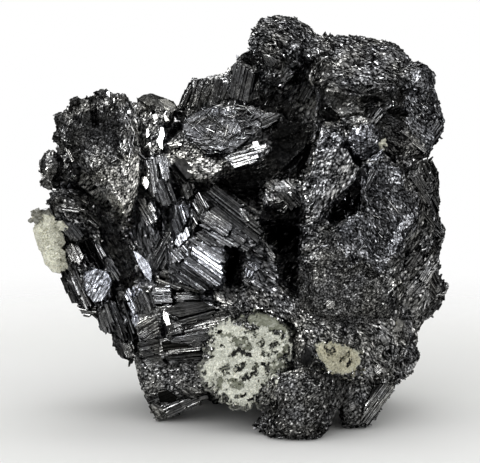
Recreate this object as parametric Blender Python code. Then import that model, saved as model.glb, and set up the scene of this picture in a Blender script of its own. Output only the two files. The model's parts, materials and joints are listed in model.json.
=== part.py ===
"""Enargite specimen: one grown-together mass of black striated crystals, with pale quartz crusts on it.

Every place on the specimen is given in millimetres on its display side, as (across, up, toward).
Across runs to the right and up runs up the display plane, which leans back from the vertical by
DISPLAY_LEAN. Toward comes out of that plane, to whoever looks at the specimen.

The mass is a union of convex pieces. A chunk has an outline in the display plane, a front face that may
slope, a bevel round that face, and sides that close in towards its back. A lump is a rough ellipsoid.
"""

import math
import random
from collections import namedtuple

import bmesh
import bpy
from mathutils import Matrix, Vector

MM = 0.001
DISPLAY_LEAN = math.radians(12.0)
BASE_CENTRE = (0.09, 4.67)  # across and depth of the base's centre, which becomes the origin
SOCKET_GAP = 0.35  # clear space left round each quartz crust
STRAY = 0.3  # how far each side's bevel and lean stray from the chunk's own, as a share
LUMP_STRAY = 0.1  # the same for the corners of a lump
BEVEL_DEPTH = 1.5  # a bevel's depth, as a multiple of its width
SIDE_CLOSING = math.radians(10.0)  # lean of a chunk's sides, which close in towards its back
BLANK = 90.0  # side of the block that a chunk is cut from, and of the one that trims the feet flat
WELD = 0.01  # corners closer than this are one corner
FLAT_WITHIN = math.radians(0.4)  # faces that meet at less than this angle are one face

# colour, roughness and metallic value of each piece
FINISHES = {
    "enargite_mass": ((0.035, 0.036, 0.04), 0.38, 0.85),
    "quartz_front": ((0.66, 0.65, 0.56), 0.55, 0.0),
    "quartz_left": ((0.62, 0.60, 0.48), 0.5, 0.0),
    "quartz_stained": ((0.5, 0.44, 0.3), 0.6, 0.0),
}

# The hidden back is a dome of blocks, set on a loose grid. Its rows run up and its columns run across.
# Heights here are distances behind the display plane.
BACK_SEED = 11
BACK_MIDDLE = (0.6, 24.0)
BACK_RADII = (24.5, 23.0)
BACK_RIM_HEIGHT = 4.5
BACK_RISE = 12.5  # how much higher the dome is at its middle than at its rim
BACK_ROOT = 3.5  # where every block starts
BACK_REACH = 0.84  # blocks are left out beyond this share of the dome's radius
BACK_GRID = (7.2, 7.0)
BACK_ROWS = 6
BACK_COLUMNS = 6
BACK_SHIFT = 0.25  # how far a block strays from its grid point, as a share of the grid's step
BACK_CORNERS = 6
BACK_WIDTH = (3.2, 4.6)  # a block's half width, least and most
BACK_STRETCH = 1.5  # length over width
BACK_CORNER_STRAY = 0.15
BACK_CORNER_TURN = 14.0  # degrees
BACK_STEP = 1.6  # how far a block stands proud of the dome or sinks below it
BACK_FOLLOW = 0.8  # how far a block's face follows the dome's own slope
BACK_STEEPEST = 0.9
BACK_TILT = 0.25  # how far a face's slope strays
BACK_BEVEL = (0.4, 1.3)
SKYLINE_LOW = 36.5  # how high a back block may stand on the left
SKYLINE_RISE = 0.9  # how fast that height rises to the right, per mm
SKYLINE_MIDDLE = 42.0  # the height that the rising part has at across 0

# outline: corners as (across, up). front: how far toward its front face is, at the outline's middle.
# slope: how much the face rises per mm across and per mm up. bevel: its width. back: where the chunk ends,
# or None with thick, for a plate whose two faces are parallel.
Chunk = namedtuple("Chunk", "outline front slope bevel back thick", defaults=(None,))

CORE = {
    "core_top": Chunk(
        [(-8.5, 36), (-3.5, 39.6), (1.6, 42.6), (4, 46.6), (8, 46), (17.5, 43.6), (21, 41.2),
         (22.6, 37.6), (21.6, 33), (18, 26), (0, 26), (-8.5, 30)],
        -4.0, (0, 0), 2.0, -12.0),
    "core_left": Chunk(
        [(-20.6, 32), (-19.6, 35.3), (-18, 37), (-13, 37.2), (-6, 36.6), (-4, 30), (-6, 20),
         (-14, 13), (-18.4, 16.6), (-21.4, 23), (-21, 29)],
        -3.0, (0, 0), 2.0, -11.0),
    "core_right": Chunk(
        [(21.4, 31.5), (22.5, 27), (22.6, 22), (22, 16), (20, 11.6), (17, 8), (10, 6),
         (0, 12), (0, 26), (8, 34), (19, 34)],
        -1.0, (0, 0), 2.0, -12.0),
    "core_middle": Chunk(
        [(-9, 30), (1, 28.4), (8, 24), (7, 12), (-6, 12), (-10, 20)],
        -1.5, (0, 0), 2.0, -12.0),
    "core_low": Chunk(
        [(-17.4, 14.8), (-14.2, 11.2), (-11, 6.6), (-8, 5.0), (2, 4.6), (14, 5.0), (17.6, 6.4),
         (19, 9), (19, 14), (13, 22), (-10, 22), (-16, 18)],
        -2.0, (0, 0), 2.5, -10.0),
}

# The specimen's rim, behind the front crystals, is a ring of blocks. Each lies along one side of this
# outline and reaches RIM_DEPTH in from it.
RIM = [
    (-22.6, 35.5), (-19.5, 38.5), (-14, 39.2), (-8.3, 38.3), (-4.8, 41.4), (0.2, 43.6), (3.0, 48.2),
    (8.2, 47.8), (13.6, 46.6), (19.6, 44.8), (24.2, 41.0), (24.4, 36.0), (23.2, 32.4), (24.6, 28.6),
    (24.8, 22.4), (24.2, 18.2), (24.8, 15.2), (21.4, 10.6), (21.0, 6.2), (17.2, 4.2), (10, 3.6),
    (2, 3.4), (-5, 3.4), (-10.4, 3.8), (-14.6, 8.6), (-19.0, 13.2), (-21.9, 18.0), (-24.2, 22.4),
    (-23.6, 27.6), (-23.4, 32.2),
]
RIM_SEED = 3
RIM_DEPTH = 6.0
RIM_OVERLAP = 0.6  # how far each block runs on past both ends of its side
RIM_FRONT = (-3.0, 1.0)  # where a block's front face may lie, least and most
RIM_BACK = (-11.0, -8.0)  # and its back face
RIM_BEVEL = (0.6, 1.4)
RIM_SLOPE = 0.3

FRONT = {
    # the left bud, which narrows to a point, and the shoulder below it
    "bud": Chunk(
        [(-22.7, 33.4), (-23.1, 36.1), (-22, 38.1), (-20.2, 39.4), (-16.8, 40.3), (-14.1, 39.8),
         (-12.9, 37.5), (-12.3, 33), (-14, 29.4), (-19, 30.4)],
        8.8, (0.05, 0.12), 1.8, -5.0),
    "bud_point": Chunk(
        [(-22, 33), (-18, 35.2), (-12.6, 34.6), (-12.1, 31), (-12.9, 26.5), (-13.9, 24), (-15.4, 25.2)],
        8.9, (0.0, -0.22), 1.2, -4.0),
    "shoulder": Chunk(
        [(-24.2, 26.4), (-23.3, 28.1), (-21, 28.3), (-18.7, 27.4), (-17.7, 25.6), (-17.8, 22),
         (-20, 20.4), (-23.8, 22)],
        6.4, (-0.12, -0.1), 1.4, -5.0),
    "shoulder_bed": Chunk(
        [(-25.2, 24.6), (-23, 25.6), (-20.5, 22), (-21.2, 17.0), (-22.8, 17.6), (-24.7, 21)],
        4.6, (0.1, 0), 0.9, -5.0),
    # blades stacked down the left flank
    "flank_blade_1": Chunk(
        [(-22.6, 21.6), (-19.6, 21.4), (-17.4, 20.6), (-16.0, 16), (-16.8, 13.6), (-19, 12.5),
         (-21.2, 14.4), (-22.4, 17.4)],
        5.4, (0.1, 0), 1.0, -6.0),
    "flank_blade_2": Chunk(
        [(-19.8, 18.4), (-16.3, 18.0), (-15.8, 15.5), (-16.5, 13), (-18.2, 12.2), (-20, 13.1),
         (-20.4, 15.5)],
        6.9, (0.05, -0.05), 0.6, -4.0),
    "flank_blade_3": Chunk(
        [(-18, 13.5), (-15.3, 13.6), (-14.8, 11), (-16, 10), (-17.6, 10.5)],
        5.4, (0.1, 0), 0.6, -4.0),
    "flank_blade_4": Chunk(
        [(-16.3, 11.5), (-13.8, 11.8), (-12.6, 8.5), (-13.4, 6.2), (-14.9, 6.9), (-16, 9)],
        5.0, (0.1, 0), 0.6, -4.0),
    "flank_blade_5": Chunk(
        [(-15.9, 16), (-13.6, 16), (-11.6, 12), (-12.2, 9.3), (-14.5, 10.8)],
        6.2, (-0.1, 0), 0.5, -4.0),
    "valley_edge": Chunk(
        [(-18.4, 22.6), (-17.6, 22.4), (-15.0, 16.8), (-15.9, 16.4)],
        7.2, (-0.2, -0.05), 0.25, 1.0),
    # thumb and the small pale-flecked piece in front of it
    "thumb": Chunk(
        [(-13.3, 39.4), (-12.6, 40.1), (-11.1, 40.4), (-9.7, 39.9), (-8, 39.1), (-7.4, 37.4),
         (-8.6, 36.4), (-12.6, 36.6)],
        -0.6, (0, -0.35), 1.3, -9.0),
    "thumb_front": Chunk(
        [(-12.6, 37.2), (-9.8, 37.5), (-9.0, 34.5), (-9.2, 31.8), (-11.6, 31.2), (-12.8, 33.5)],
        5.0, (0.1, -0.2), 0.8, -4.0),
    # fan of blades left of the middle
    "fan_top": Chunk(
        [(-12.2, 32), (-9.3, 32.6), (-8.2, 29.5), (-8.5, 27), (-10.6, 26.2), (-12.1, 28.5)],
        7.6, (0.25, 0.05), 0.5, -3.0),
    "fan_left": Chunk(
        [(-13.2, 24), (-12.6, 27), (-10.5, 27.1), (-8.6, 24.5), (-8.0, 20), (-9, 17.2), (-11.5, 16),
         (-13.2, 18)],
        6.6, (0.12, -0.05), 0.7, -4.0),
    "fan_right": Chunk(
        [(-9, 26.5), (-7, 27.3), (-5.2, 25.5), (-5.0, 21.5), (-6.5, 19.6), (-8.8, 20.2)],
        8.4, (0.2, 0), 0.7, -2.0),
    "fan_brow": Chunk(
        [(-9.4, 32.6), (-6.2, 32.5), (-5.6, 29.4), (-7.4, 28.1), (-9.2, 28.6)],
        7.2, (-0.1, 0.1), 0.6, -2.0),
    # ribbed columns on the skyline
    "column_1": Chunk(
        [(-7.5, 39.2), (-6.1, 41.9), (-3.8, 42.2), (-3.3, 36.6), (-7.2, 36.2)],
        1.2, (0.1, 0.05), 0.5, -9.0),
    "column_2": Chunk(
        [(-4.2, 42.2), (-1.9, 42.6), (-0.9, 38), (-1.2, 36.2), (-4.2, 36.4)],
        2.6, (0.15, 0.05), 0.4, -8.0),
    "column_3": Chunk(
        [(-2.0, 42.6), (-0.6, 44.1), (0.3, 44.8), (1.2, 40), (0.6, 36.6), (-1.7, 36.8)],
        3.3, (-0.1, 0.05), 0.4, -8.0),
    "column_4": Chunk(
        [(-0.4, 44.3), (2.2, 43.2), (2.7, 39.2), (0.4, 38.0), (-0.8, 40)],
        4.8, (0.1, 0.1), 0.4, -6.0),
    # the crown and the long rounded roof to its right
    "crown": Chunk(
        [(0.9, 44.4), (0.9, 47.4), (2.6, 49.6), (4.6, 50.1), (6.6, 49.9), (8.9, 48.4), (10.2, 46.6),
         (8.4, 43.5), (4, 42.8)],
        2.2, (-0.05, -0.3), 1.6, -10.0),
    "roof": Chunk(
        [(8.2, 47.4), (12, 47.6), (16, 47.3), (19.4, 46.5), (21.2, 44.6), (20.6, 40), (12, 38.6),
         (8.6, 41)],
        2.6, (-0.05, -0.75), 1.4, -11.0),
    "roof_edge": Chunk(
        [(9.2, 41.6), (13, 42.3), (19.7, 41.8), (20.7, 38), (18.5, 35.6), (12, 35.4), (9.6, 37.5)],
        6.2, (-0.1, 0.15), 1.4, -6.0),
    "corner": Chunk(
        [(19.6, 45.5), (21.5, 44.3), (23.1, 44.1), (24.4, 41.6), (25.3, 38.8), (25.5, 36.6),
         (25, 34.6), (24, 32.7), (20.5, 32.6), (18.5, 39)],
        2.0, (-0.4, -0.2), 1.6, -12.0),
    # plates in front of the cavity, and the rough lump that carries them
    "plate": Chunk(
        [(-7.4, 35.9), (-6, 37.5), (-4, 38.4), (-0.6, 38.7), (1.9, 38.4), (5.1, 37.1), (2.5, 35.1),
         (0, 33), (-1.5, 32.4), (-4.4, 32.4), (-6.8, 34.2)],
        8.4, (-0.03, -0.42), 0.3, None, 1.3),
    "bright_plate": Chunk(
        [(-2.3, 32), (-0.6, 32.9), (1.5, 33.9), (3.5, 33.8), (4.0, 33), (2.7, 31.9), (1.2, 31),
         (-1, 30.8)],
        9.7, (0.05, -0.55), 0.2, None, 2.3),
    "plate_lump": Chunk(
        [(-9.1, 33.6), (-7, 36.4), (-3, 37), (0.4, 33.6), (3.0, 32.3), (-3.7, 28.7), (-7.2, 28.9),
         (-9.1, 31)],
        8.2, (0.05, -0.38), 0.8, -3.0),
    # inside the cavity
    "cavity_block": Chunk(
        [(2.3, 28.2), (4.5, 29.3), (7.3, 29.1), (7.6, 26.9), (5.6, 24.8), (2.6, 25.4)],
        6.4, (-0.1, -0.45), 0.6, -4.0),
    "cavity_step": Chunk(
        [(-0.4, 27.2), (3, 26.6), (7.8, 26.2), (7.6, 23.6), (3, 23.2), (-0.4, 24.2)],
        4.2, (0.1, 0.1), 0.7, -4.0),
    # the ridge down the cavity's right side
    "ridge_top": Chunk(
        [(9.7, 36.6), (12.8, 36.6), (14.0, 32.4), (13.5, 29.2), (8.3, 29.2), (8.9, 32.5)],
        10.4, (-0.2, -0.25), 0.9, -3.0),
    "ridge_middle": Chunk(
        [(8.1, 30.2), (13.4, 29.8), (11.6, 25.6), (9.8, 23), (7.5, 22.6), (7.2, 28.5)],
        11.0, (0.25, -0.15), 0.9, -2.0),
    "ridge_foot": Chunk(
        [(7.4, 24), (10.4, 24.8), (12.5, 22.4), (11, 18), (7.4, 18.4)],
        11.4, (0.1, 0), 0.9, -2.0),
    "ridge_shoulder": Chunk(
        [(12.4, 36.9), (15, 37.5), (17.5, 36.7), (18, 33), (15.6, 31.4), (13.2, 32.6)],
        10.2, (-0.1, 0.12), 1.2, -4.0),
    # the broad right side
    "cheek": Chunk(
        [(14.9, 31.3), (17.4, 33), (20.5, 30.5), (22.3, 27.2), (22.5, 24.6), (20.4, 20.4),
         (16.0, 19.6), (14.9, 25)],
        13.0, (-0.14, 0.03), 0.8, -4.0),
    "cheek_low": Chunk(
        [(10.6, 23.6), (13.0, 24.6), (15.6, 26.6), (20, 24.4), (20.6, 19.6), (18.6, 17.2),
         (11, 17.6)],
        13.0, (-0.06, 0.02), 0.9, -4.0),
    "temple": Chunk(
        [(17, 37.4), (21, 37.6), (24.4, 35.2), (24, 32), (20, 31), (16.8, 31.8)],
        6.6, (-0.45, 0.05), 1.2, -8.0),
    "side_upper": Chunk(
        [(19.4, 32.2), (24.2, 32.2), (25.6, 30), (25.7, 26.6), (25.5, 23), (25.0, 19.6), (21, 18),
         (18.8, 22)],
        7.6, (-0.65, 0), 1.2, -11.0),
    "side_lower": Chunk(
        [(18.4, 20), (24.9, 20.2), (25.4, 17.6), (25.3, 13.4), (22.9, 11.5), (18.4, 11.2)],
        7.0, (-0.6, 0.05), 1.2, -10.0),
    "side_knob": Chunk(
        [(23, 17.8), (25.4, 17.6), (26.7, 15.8), (25.4, 13.6), (23, 13.2)],
        4.6, (-0.3, 0), 0.6, -4.0),
    "belly": Chunk(
        [(7.3, 19.6), (11, 21.6), (15, 20.2), (19, 19.4), (20.6, 16), (19.6, 11.8), (12, 11),
         (7.3, 13)],
        13.8, (-0.08, 0.03), 1.4, -3.0),
    "hip": Chunk(
        [(12.2, 13.2), (20, 13.6), (22.6, 10.8), (21.6, 9.2), (22.3, 7.6), (21.0, 4.9), (19, 3.5),
         (12.6, 3.6), (11, 8)],
        11.4, (-0.3, 0.12), 1.4, -6.0),
    "hip_edge": Chunk(
        [(17.6, 14.4), (22.9, 12.8), (23.2, 11.7), (21.9, 9.6), (17.6, 8.6)],
        7.4, (-0.5, 0.1), 1.0, -7.0),
    "hip_corner": Chunk(
        [(17, 9.4), (21.7, 9.6), (22.6, 7.7), (21.3, 4.8), (19.2, 3.6), (16.6, 4.4)],
        8.4, (-0.4, 0.15), 0.8, -6.0),
    "hip_left": Chunk(
        [(6.6, 13.6), (13.2, 12.6), (14.4, 8), (13.6, 4), (11.4, 3.0), (6.4, 5)],
        13.2, (-0.05, 0.03), 1.4, -2.0),
    # feet
    "back_foot": Chunk(
        [(0.6, 6), (9.4, 6), (8.6, 2.4), (7, 1.3), (3, 1.4)],
        -5.0, (0, 0), 0.8, -13.0),
    "back_foot_left": Chunk(
        [(-8.4, 6.5), (-2.8, 6), (-3.4, 2.2), (-6.8, 1.7)],
        -5.0, (0, 0), 0.8, -12.5),
    "front_foot": Chunk(
        [(3.6, 4.8), (8, 6.2), (11.9, 4.4), (12.1, 0.8), (11.1, -1.7), (9.6, -3.4), (5, -3.4),
         (2.9, -2.4), (3.3, 0.6)],
        15.6, (0, 0.05), 1.3, 7.5),
    "front_foot_heel": Chunk(
        [(1.4, -1.3), (3.2, 0.8), (5.2, 0.8), (5, -3.2), (3.0, -2.6)],
        12.6, (0.2, 0), 0.5, 8.0),
    "right_foot": Chunk(
        [(12.3, 5), (19.9, 4.6), (18.5, 1.8), (17.3, 0), (16, -1.7), (12.7, -1.6), (12.2, 0.7)],
        9.6, (-0.25, 0.28), 0.7, -3.0),
    # striated crystals in the middle, which run down to the right
    "striated_1": Chunk(
        [(-5.0, 27.4), (-2.2, 28.3), (2.7, 24.8), (3.1, 22), (1, 19.6), (-1.6, 21.2), (-5.4, 24.2)],
        11.2, (0.1, -0.2), 0.5, -2.0),
    "striated_2": Chunk(
        [(-6.7, 21.8), (-4.2, 23.0), (-1.8, 20.8), (-1.9, 17.3), (-3.2, 15.5), (-6.5, 18.2)],
        12.4, (0.1, -0.15), 0.4, 0.0),
    "striated_3": Chunk(
        [(-9.5, 21.4), (-6.4, 22.2), (-2.8, 16.2), (-5, 14.4), (-8.8, 16.4)],
        9.8, (0.15, -0.1), 0.5, -2.0),
    "striated_4": Chunk(
        [(0.1, 21.2), (3, 22.5), (4.7, 20.5), (5.0, 16), (2.8, 14.4), (0.1, 16.3)],
        9.8, (0.1, -0.1), 0.5, -2.0),
    "slope": Chunk(
        [(-3.0, 16.2), (4.8, 16.5), (7.7, 14), (7.5, 11.2), (1.5, 11.4), (-2.8, 12.6)],
        10.8, (0.1, -0.42), 0.7, -2.0),
    # long prisms that lie across the lower left
    "prism_upper": Chunk(
        [(-13.5, 17), (-10.6, 17.6), (-9.0, 14.5), (-9.2, 9.5), (-12.5, 8.8), (-13.7, 12.5)],
        7.8, (0.05, -0.05), 0.6, -3.0),
    "prism_1": Chunk(
        [(-10.0, 15.2), (-3.2, 15.0), (-2.4, 13.2), (-7.4, 11.5), (-10.0, 12)],
        9.6, (0.1, -0.3), 0.4, -2.0),
    "prism_2": Chunk(
        [(-9.2, 12), (-1, 14), (1.8, 12.8), (0, 10.6), (-5.5, 9.2), (-9.2, 9.4)],
        9.4, (0.12, -0.05), 0.4, -2.0),
    "prism_3": Chunk(
        [(-10.5, 9.9), (-4, 10.4), (-3.2, 8), (-4.4, 6.7), (-10.4, 6.9)],
        8.4, (0.1, -0.05), 0.4, -3.0),
    "grain_face": Chunk(
        [(-13.5, 7.4), (-10, 8.0), (-4.4, 7.6), (-3.6, 4.8), (-4.2, 1.9), (-11.6, 1.7), (-12.7, 4)],
        7.2, (0.1, 0.1), 0.8, -4.0),
    "left_tip": Chunk(
        [(-12.0, 2.6), (-4.6, 2.8), (-4.6, 1.1), (-7.4, 0.0), (-10.3, -1.5), (-11.0, 0)],
        5.3, (0, 0.4), 0.3, -2.0),
    "crust_bed": Chunk(
        [(-5.2, 12), (1, 13.2), (7.2, 11.4), (8, 6), (4, 2.2), (0, 1.9), (-3.6, 2.6)],
        10.6, (0.08, 0.02), 0.8, -4.0),
}

# Quartz crusts. Each has its own socket in the mass.
CRUSTS = {
    "quartz_front": {
        "patch": Chunk(
            [(-3, 11), (-2.2, 11.7), (0.5, 11.7), (3.8, 10.7), (6, 9.3), (6.6, 7.2), (4.2, 4.4),
             (2.4, 1.8), (1.2, 1.1), (-0.7, 1.1), (-3, 2.1), (-4.7, 4.4), (-4.7, 6.2)],
            12.2, (0.06, 0.02), 0.5, 8.8),
        "seam": Chunk(
            [(-0.4, 11.8), (0.2, 12.6), (2.8, 12.8), (5.2, 11.9), (6.7, 10.2), (5.6, 8.8), (0.6, 11)],
            12.0, (0.05, -0.1), 0.4, 9.0),
    },
    "quartz_left": {
        "patch": Chunk(
            [(-26.5, 24.2), (-25.7, 25.6), (-23.8, 25.8), (-22.5, 23.6), (-21.9, 21), (-22.1, 18.3),
             (-23.2, 17.7), (-24.8, 19.8), (-25.7, 21.9)],
            7.0, (0.15, 0), 0.8, 1.6),
    },
    "quartz_stained": {
        "patch": Chunk(
            [(9.4, 8.8), (11.3, 9.1), (13.2, 8.6), (14.2, 8.3), (15.4, 6.9), (15.4, 6.1),
             (14, 5.0), (12.8, 4.8), (10.6, 5.3), (9.9, 6.5)],
            14.0, (-0.16, 0.03), 0.4, 10.8),
    },
}

Lump = namedtuple("Lump", "centre half_sizes tilt detail")

LUMPS = {
    # beads round the bud's rim, and the knob beside it
    "bead_1": Lump((-22.3, 36.8, 5.4), (1.2, 1.2, 2.2), 0, 1),
    "bead_2": Lump((-20.4, 38.8, 5.8), (1.3, 1.1, 2.2), 0, 1),
    "bead_3": Lump((-17.1, 39.6, 5.6), (1.4, 1.2, 2.6), 0, 1),
    "bead_4": Lump((-14.7, 39.1, 5.0), (1.2, 1.2, 2.4), 0, 1),
    "bead_5": Lump((-22.6, 34.6, 4.8), (1.1, 1.3, 2.4), 0, 1),
    "knob": Lump((-23.4, 31.1, 2.0), (1.8, 2.2, 2.8), 10, 2),
    "knob_neck": Lump((-21.6, 30.6, 1.0), (2.6, 2.0, 3.4), 0, 1),
    "shoulder_bead": Lump((-23.6, 28.9, 1.5), (1.6, 1.2, 2.6), 0, 1),
    # small knobs by the fan, in the upper hollow and along the right edge
    "fan_knob": Lump((-6.3, 27.9, 7.6), (1.3, 1.2, 2.0), 0, 1),
    "roof_bead_1": Lump((22.3, 41.7, 1.0), (2.4, 2.4, 3.4), 0, 2),
    "roof_bead_2": Lump((10.2, 45.2, -1.0), (2.8, 2.2, 4.0), 0, 2),
    "hollow_bead": Lump((4.6, 42.6, -0.6), (2.4, 2.0, 3.0), 0, 1),
    "right_bead_1": Lump((24.4, 36.6, -1.0), (1.5, 2.4, 3.4), 0, 1),
    "right_bead_2": Lump((24.6, 23.0, 0.5), (1.5, 2.6, 3.2), 0, 1),
    "hip_bead": Lump((19.2, 9.6, 5.0), (3.4, 3.8, 4.6), 0, 2),
    "foot_bead": Lump((4.6, 3.4, 12.4), (1.6, 1.6, 2.2), 0, 1),
}


def spot(across, up, toward):
    """A place given on the display side, in millimetres, as a point in metres."""
    lean_sin = math.sin(DISPLAY_LEAN)
    lean_cos = math.cos(DISPLAY_LEAN)
    return MM * Vector(
        (
            across - BASE_CENTRE[0],
            up * lean_sin - toward * lean_cos - BASE_CENTRE[1],
            up * lean_cos + toward * lean_sin,
        )
    )


def display_frame():
    """The matrix that takes (across, up, toward) in millimetres to a point in metres."""
    origin = spot(0, 0, 0)
    axes = [spot(*axis) - origin for axis in ((1, 0, 0), (0, 1, 0), (0, 0, 1))]
    return Matrix.Translation(origin) @ Matrix(axes).transposed().to_4x4()


def clear_scene():
    for obj in list(bpy.data.objects):
        bpy.data.objects.remove(obj)


def add_object(name, bm, collection):
    mesh = bpy.data.meshes.new(name)
    bm.to_mesh(mesh)
    bm.free()
    obj = bpy.data.objects.new(name, mesh)
    collection.objects.link(obj)
    return obj


def keep_behind(bm, point, normal):
    """Cut a convex solid with a plane, and drop what lies on the side that the normal points to."""
    everything = bm.verts[:] + bm.edges[:] + bm.faces[:]
    cut = bmesh.ops.bisect_plane(
        bm, geom=everything, dist=1e-6, plane_co=point, plane_no=normal, clear_outer=True)
    rim = [part for part in cut["geom_cut"] if isinstance(part, bmesh.types.BMEdge)]
    if rim:
        bmesh.ops.contextual_create(bm, geom=rim)


def chunk_shape(name, chunk, grow=0.0):
    """The chunk as a bmesh in (across, up, toward), with every face moved out by grow."""
    chance = random.Random(name)
    middle = sum((Vector(corner) for corner in chunk.outline), Vector((0, 0))) / len(chunk.outline)

    def face_height(place):
        return chunk.front + (place - middle).dot(Vector(chunk.slope))

    def cut(point, normal):
        normal = normal.normalized()
        keep_behind(bm, point + normal * grow, normal)

    bm = bmesh.new()
    bmesh.ops.create_cube(bm, size=BLANK)
    bmesh.ops.translate(bm, verts=bm.verts, vec=(middle.x, middle.y, chunk.front))
    front_point = Vector((middle.x, middle.y, chunk.front))
    front_normal = Vector((-chunk.slope[0], -chunk.slope[1], 1))
    cut(front_point, front_normal)
    if chunk.back is None:
        cut(front_point - Vector((0, 0, chunk.thick)), -front_normal)
    else:
        cut(Vector((middle.x, middle.y, chunk.back)), Vector((0, 0, -1)))
    corners = [Vector(corner) for corner in chunk.outline]
    for start, end in zip(corners, corners[1:] + corners[:1]):
        along = (end - start).normalized()
        outward = Vector((along.y, -along.x))
        if outward.dot(start - middle) < 0:
            outward = -outward
        width = chunk.bevel * (1 + chance.uniform(-STRAY, STRAY))
        depth = width * BEVEL_DEPTH
        edge_point = start.to_3d() + Vector((0, 0, face_height(start) - depth))
        edge_run = (end - start).to_3d() + Vector((0, 0, face_height(end) - face_height(start)))
        inset = -width * outward.to_3d() + Vector((0, 0, depth - width * outward.dot(Vector(chunk.slope))))
        bevel_normal = edge_run.cross(inset)
        if bevel_normal.dot(outward.to_3d()) < 0:
            bevel_normal = -bevel_normal
        cut(edge_point, bevel_normal)
        closing = SIDE_CLOSING * (1 + chance.uniform(-STRAY, STRAY))
        cut(edge_point, outward.to_3d() - Vector((0, 0, math.tan(closing))))
    return bm


def add_chunk(name, chunk, collection, grow=0.0):
    bm = chunk_shape(name, chunk, grow)
    bm.transform(display_frame())
    return add_object(name, bm, collection)


def add_lump(name, lump, collection):
    """A rough ellipsoid: an icosphere whose corners stray a little."""
    chance = random.Random(name)
    bm = bmesh.new()
    bmesh.ops.create_icosphere(bm, subdivisions=lump.detail, radius=1.0)
    for vert in bm.verts:
        vert.co *= 1 + chance.uniform(-LUMP_STRAY, LUMP_STRAY)
        vert.co = Vector(size * value for size, value in zip(lump.half_sizes, vert.co))
    turn = Matrix.Rotation(math.radians(lump.tilt), 4, "Z")
    bm.transform(display_frame() @ Matrix.Translation(lump.centre) @ turn)
    return add_object(name, bm, collection)


def block_outline(place, chance):
    """A long rough hexagon round a place, turned any way."""
    turn = Matrix.Rotation(chance.uniform(0, math.pi), 2)
    half_width = chance.uniform(*BACK_WIDTH)
    outline = []
    for corner in range(BACK_CORNERS):
        stray = chance.uniform(-BACK_CORNER_TURN, BACK_CORNER_TURN)
        angle = math.radians(360 / BACK_CORNERS * corner + stray)
        arm = Vector((BACK_STRETCH * math.cos(angle), math.sin(angle))) * half_width
        arm *= 1 + chance.uniform(-BACK_CORNER_STRAY, BACK_CORNER_STRAY)
        outline.append(tuple(place + turn @ arm))
    return outline


def back_block(row, column):
    """One block of the back, as a chunk seen from behind, or None where the dome has ended."""
    chance = random.Random(BACK_SEED * 100 + row * 10 + column)
    steps = (
        column - (BACK_COLUMNS - 1) / 2 + chance.uniform(-BACK_SHIFT, BACK_SHIFT),
        row - (BACK_ROWS - 1) / 2 + chance.uniform(-BACK_SHIFT, BACK_SHIFT),
    )
    place = Vector(BACK_MIDDLE) + Vector(BACK_GRID) * Vector(steps)
    offset = Vector(
        (
            (place.x - BACK_MIDDLE[0]) / BACK_RADII[0],
            (place.y - BACK_MIDDLE[1]) / BACK_RADII[1],
        )
    )
    if offset.length > BACK_REACH:
        return None
    fall = math.sqrt(1 - offset.length_squared)
    height = BACK_RIM_HEIGHT + BACK_RISE * fall + chance.uniform(-BACK_STEP, BACK_STEP)
    slope = []
    for part, radius in zip(offset, BACK_RADII):
        dome_slope = -BACK_FOLLOW * BACK_RISE * part / radius / fall
        dome_slope = max(-BACK_STEEPEST, min(BACK_STEEPEST, dome_slope))
        slope.append(dome_slope + chance.uniform(-BACK_TILT, BACK_TILT))
    outline = block_outline(place, chance)
    if any(up > max(SKYLINE_LOW, SKYLINE_MIDDLE + SKYLINE_RISE * across) for across, up in outline):
        return None
    return Chunk(outline, height, slope, chance.uniform(*BACK_BEVEL), BACK_ROOT)


def add_rim(collection):
    for number, (start, end) in enumerate(zip(RIM, RIM[1:] + RIM[:1])):
        chance = random.Random(RIM_SEED * 100 + number)
        start = Vector(start)
        end = Vector(end)
        along = (end - start).normalized()
        inward = Vector((along.y, -along.x)) * RIM_DEPTH
        overlap = along * RIM_OVERLAP
        outline = [start - overlap, end + overlap, end + inward, start + inward]
        slope = (chance.uniform(-RIM_SLOPE, RIM_SLOPE), chance.uniform(-RIM_SLOPE, RIM_SLOPE))
        front = chance.uniform(*RIM_FRONT)
        bevel = chance.uniform(*RIM_BEVEL)
        add_chunk(f"rim_{number}", Chunk(outline, front, slope, bevel, chance.uniform(*RIM_BACK)), collection)


def add_back(collection):
    """The back's blocks are chunks with their depth turned round, so that they face away."""
    turn_round = Matrix.Diagonal((1, 1, -1, 1))
    for row in range(BACK_ROWS):
        for column in range(BACK_COLUMNS):
            chunk = back_block(row, column)
            if chunk:
                name = f"back_{row}_{column}"
                bm = chunk_shape(name, chunk)
                bm.transform(display_frame() @ turn_round)
                bmesh.ops.reverse_faces(bm, faces=bm.faces)
                add_object(name, bm, collection)


def combined(mesh, operation, collection):
    """The mesh joined with all of the collection's shapes (UNION), or cut by them (DIFFERENCE)."""
    base = bpy.data.objects.new("base", mesh)
    bpy.context.scene.collection.objects.link(base)
    boolean = base.modifiers.new("boolean", "BOOLEAN")
    boolean.operation = operation
    boolean.operand_type = "COLLECTION"
    boolean.collection = collection
    graph = bpy.context.evaluated_depsgraph_get()
    result = bpy.data.meshes.new_from_object(base.evaluated_get(graph))
    bpy.data.objects.remove(base)
    return result


def shells(bm):
    """The mesh's separate closed skins, each as a list of faces."""
    left = set(bm.faces)
    found = []
    while left:
        shell = [left.pop()]
        for face in shell:
            for edge in face.edges:
                for neighbour in edge.link_faces:
                    if neighbour in left:
                        left.remove(neighbour)
                        shell.append(neighbour)
        found.append(shell)
    return found


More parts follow.
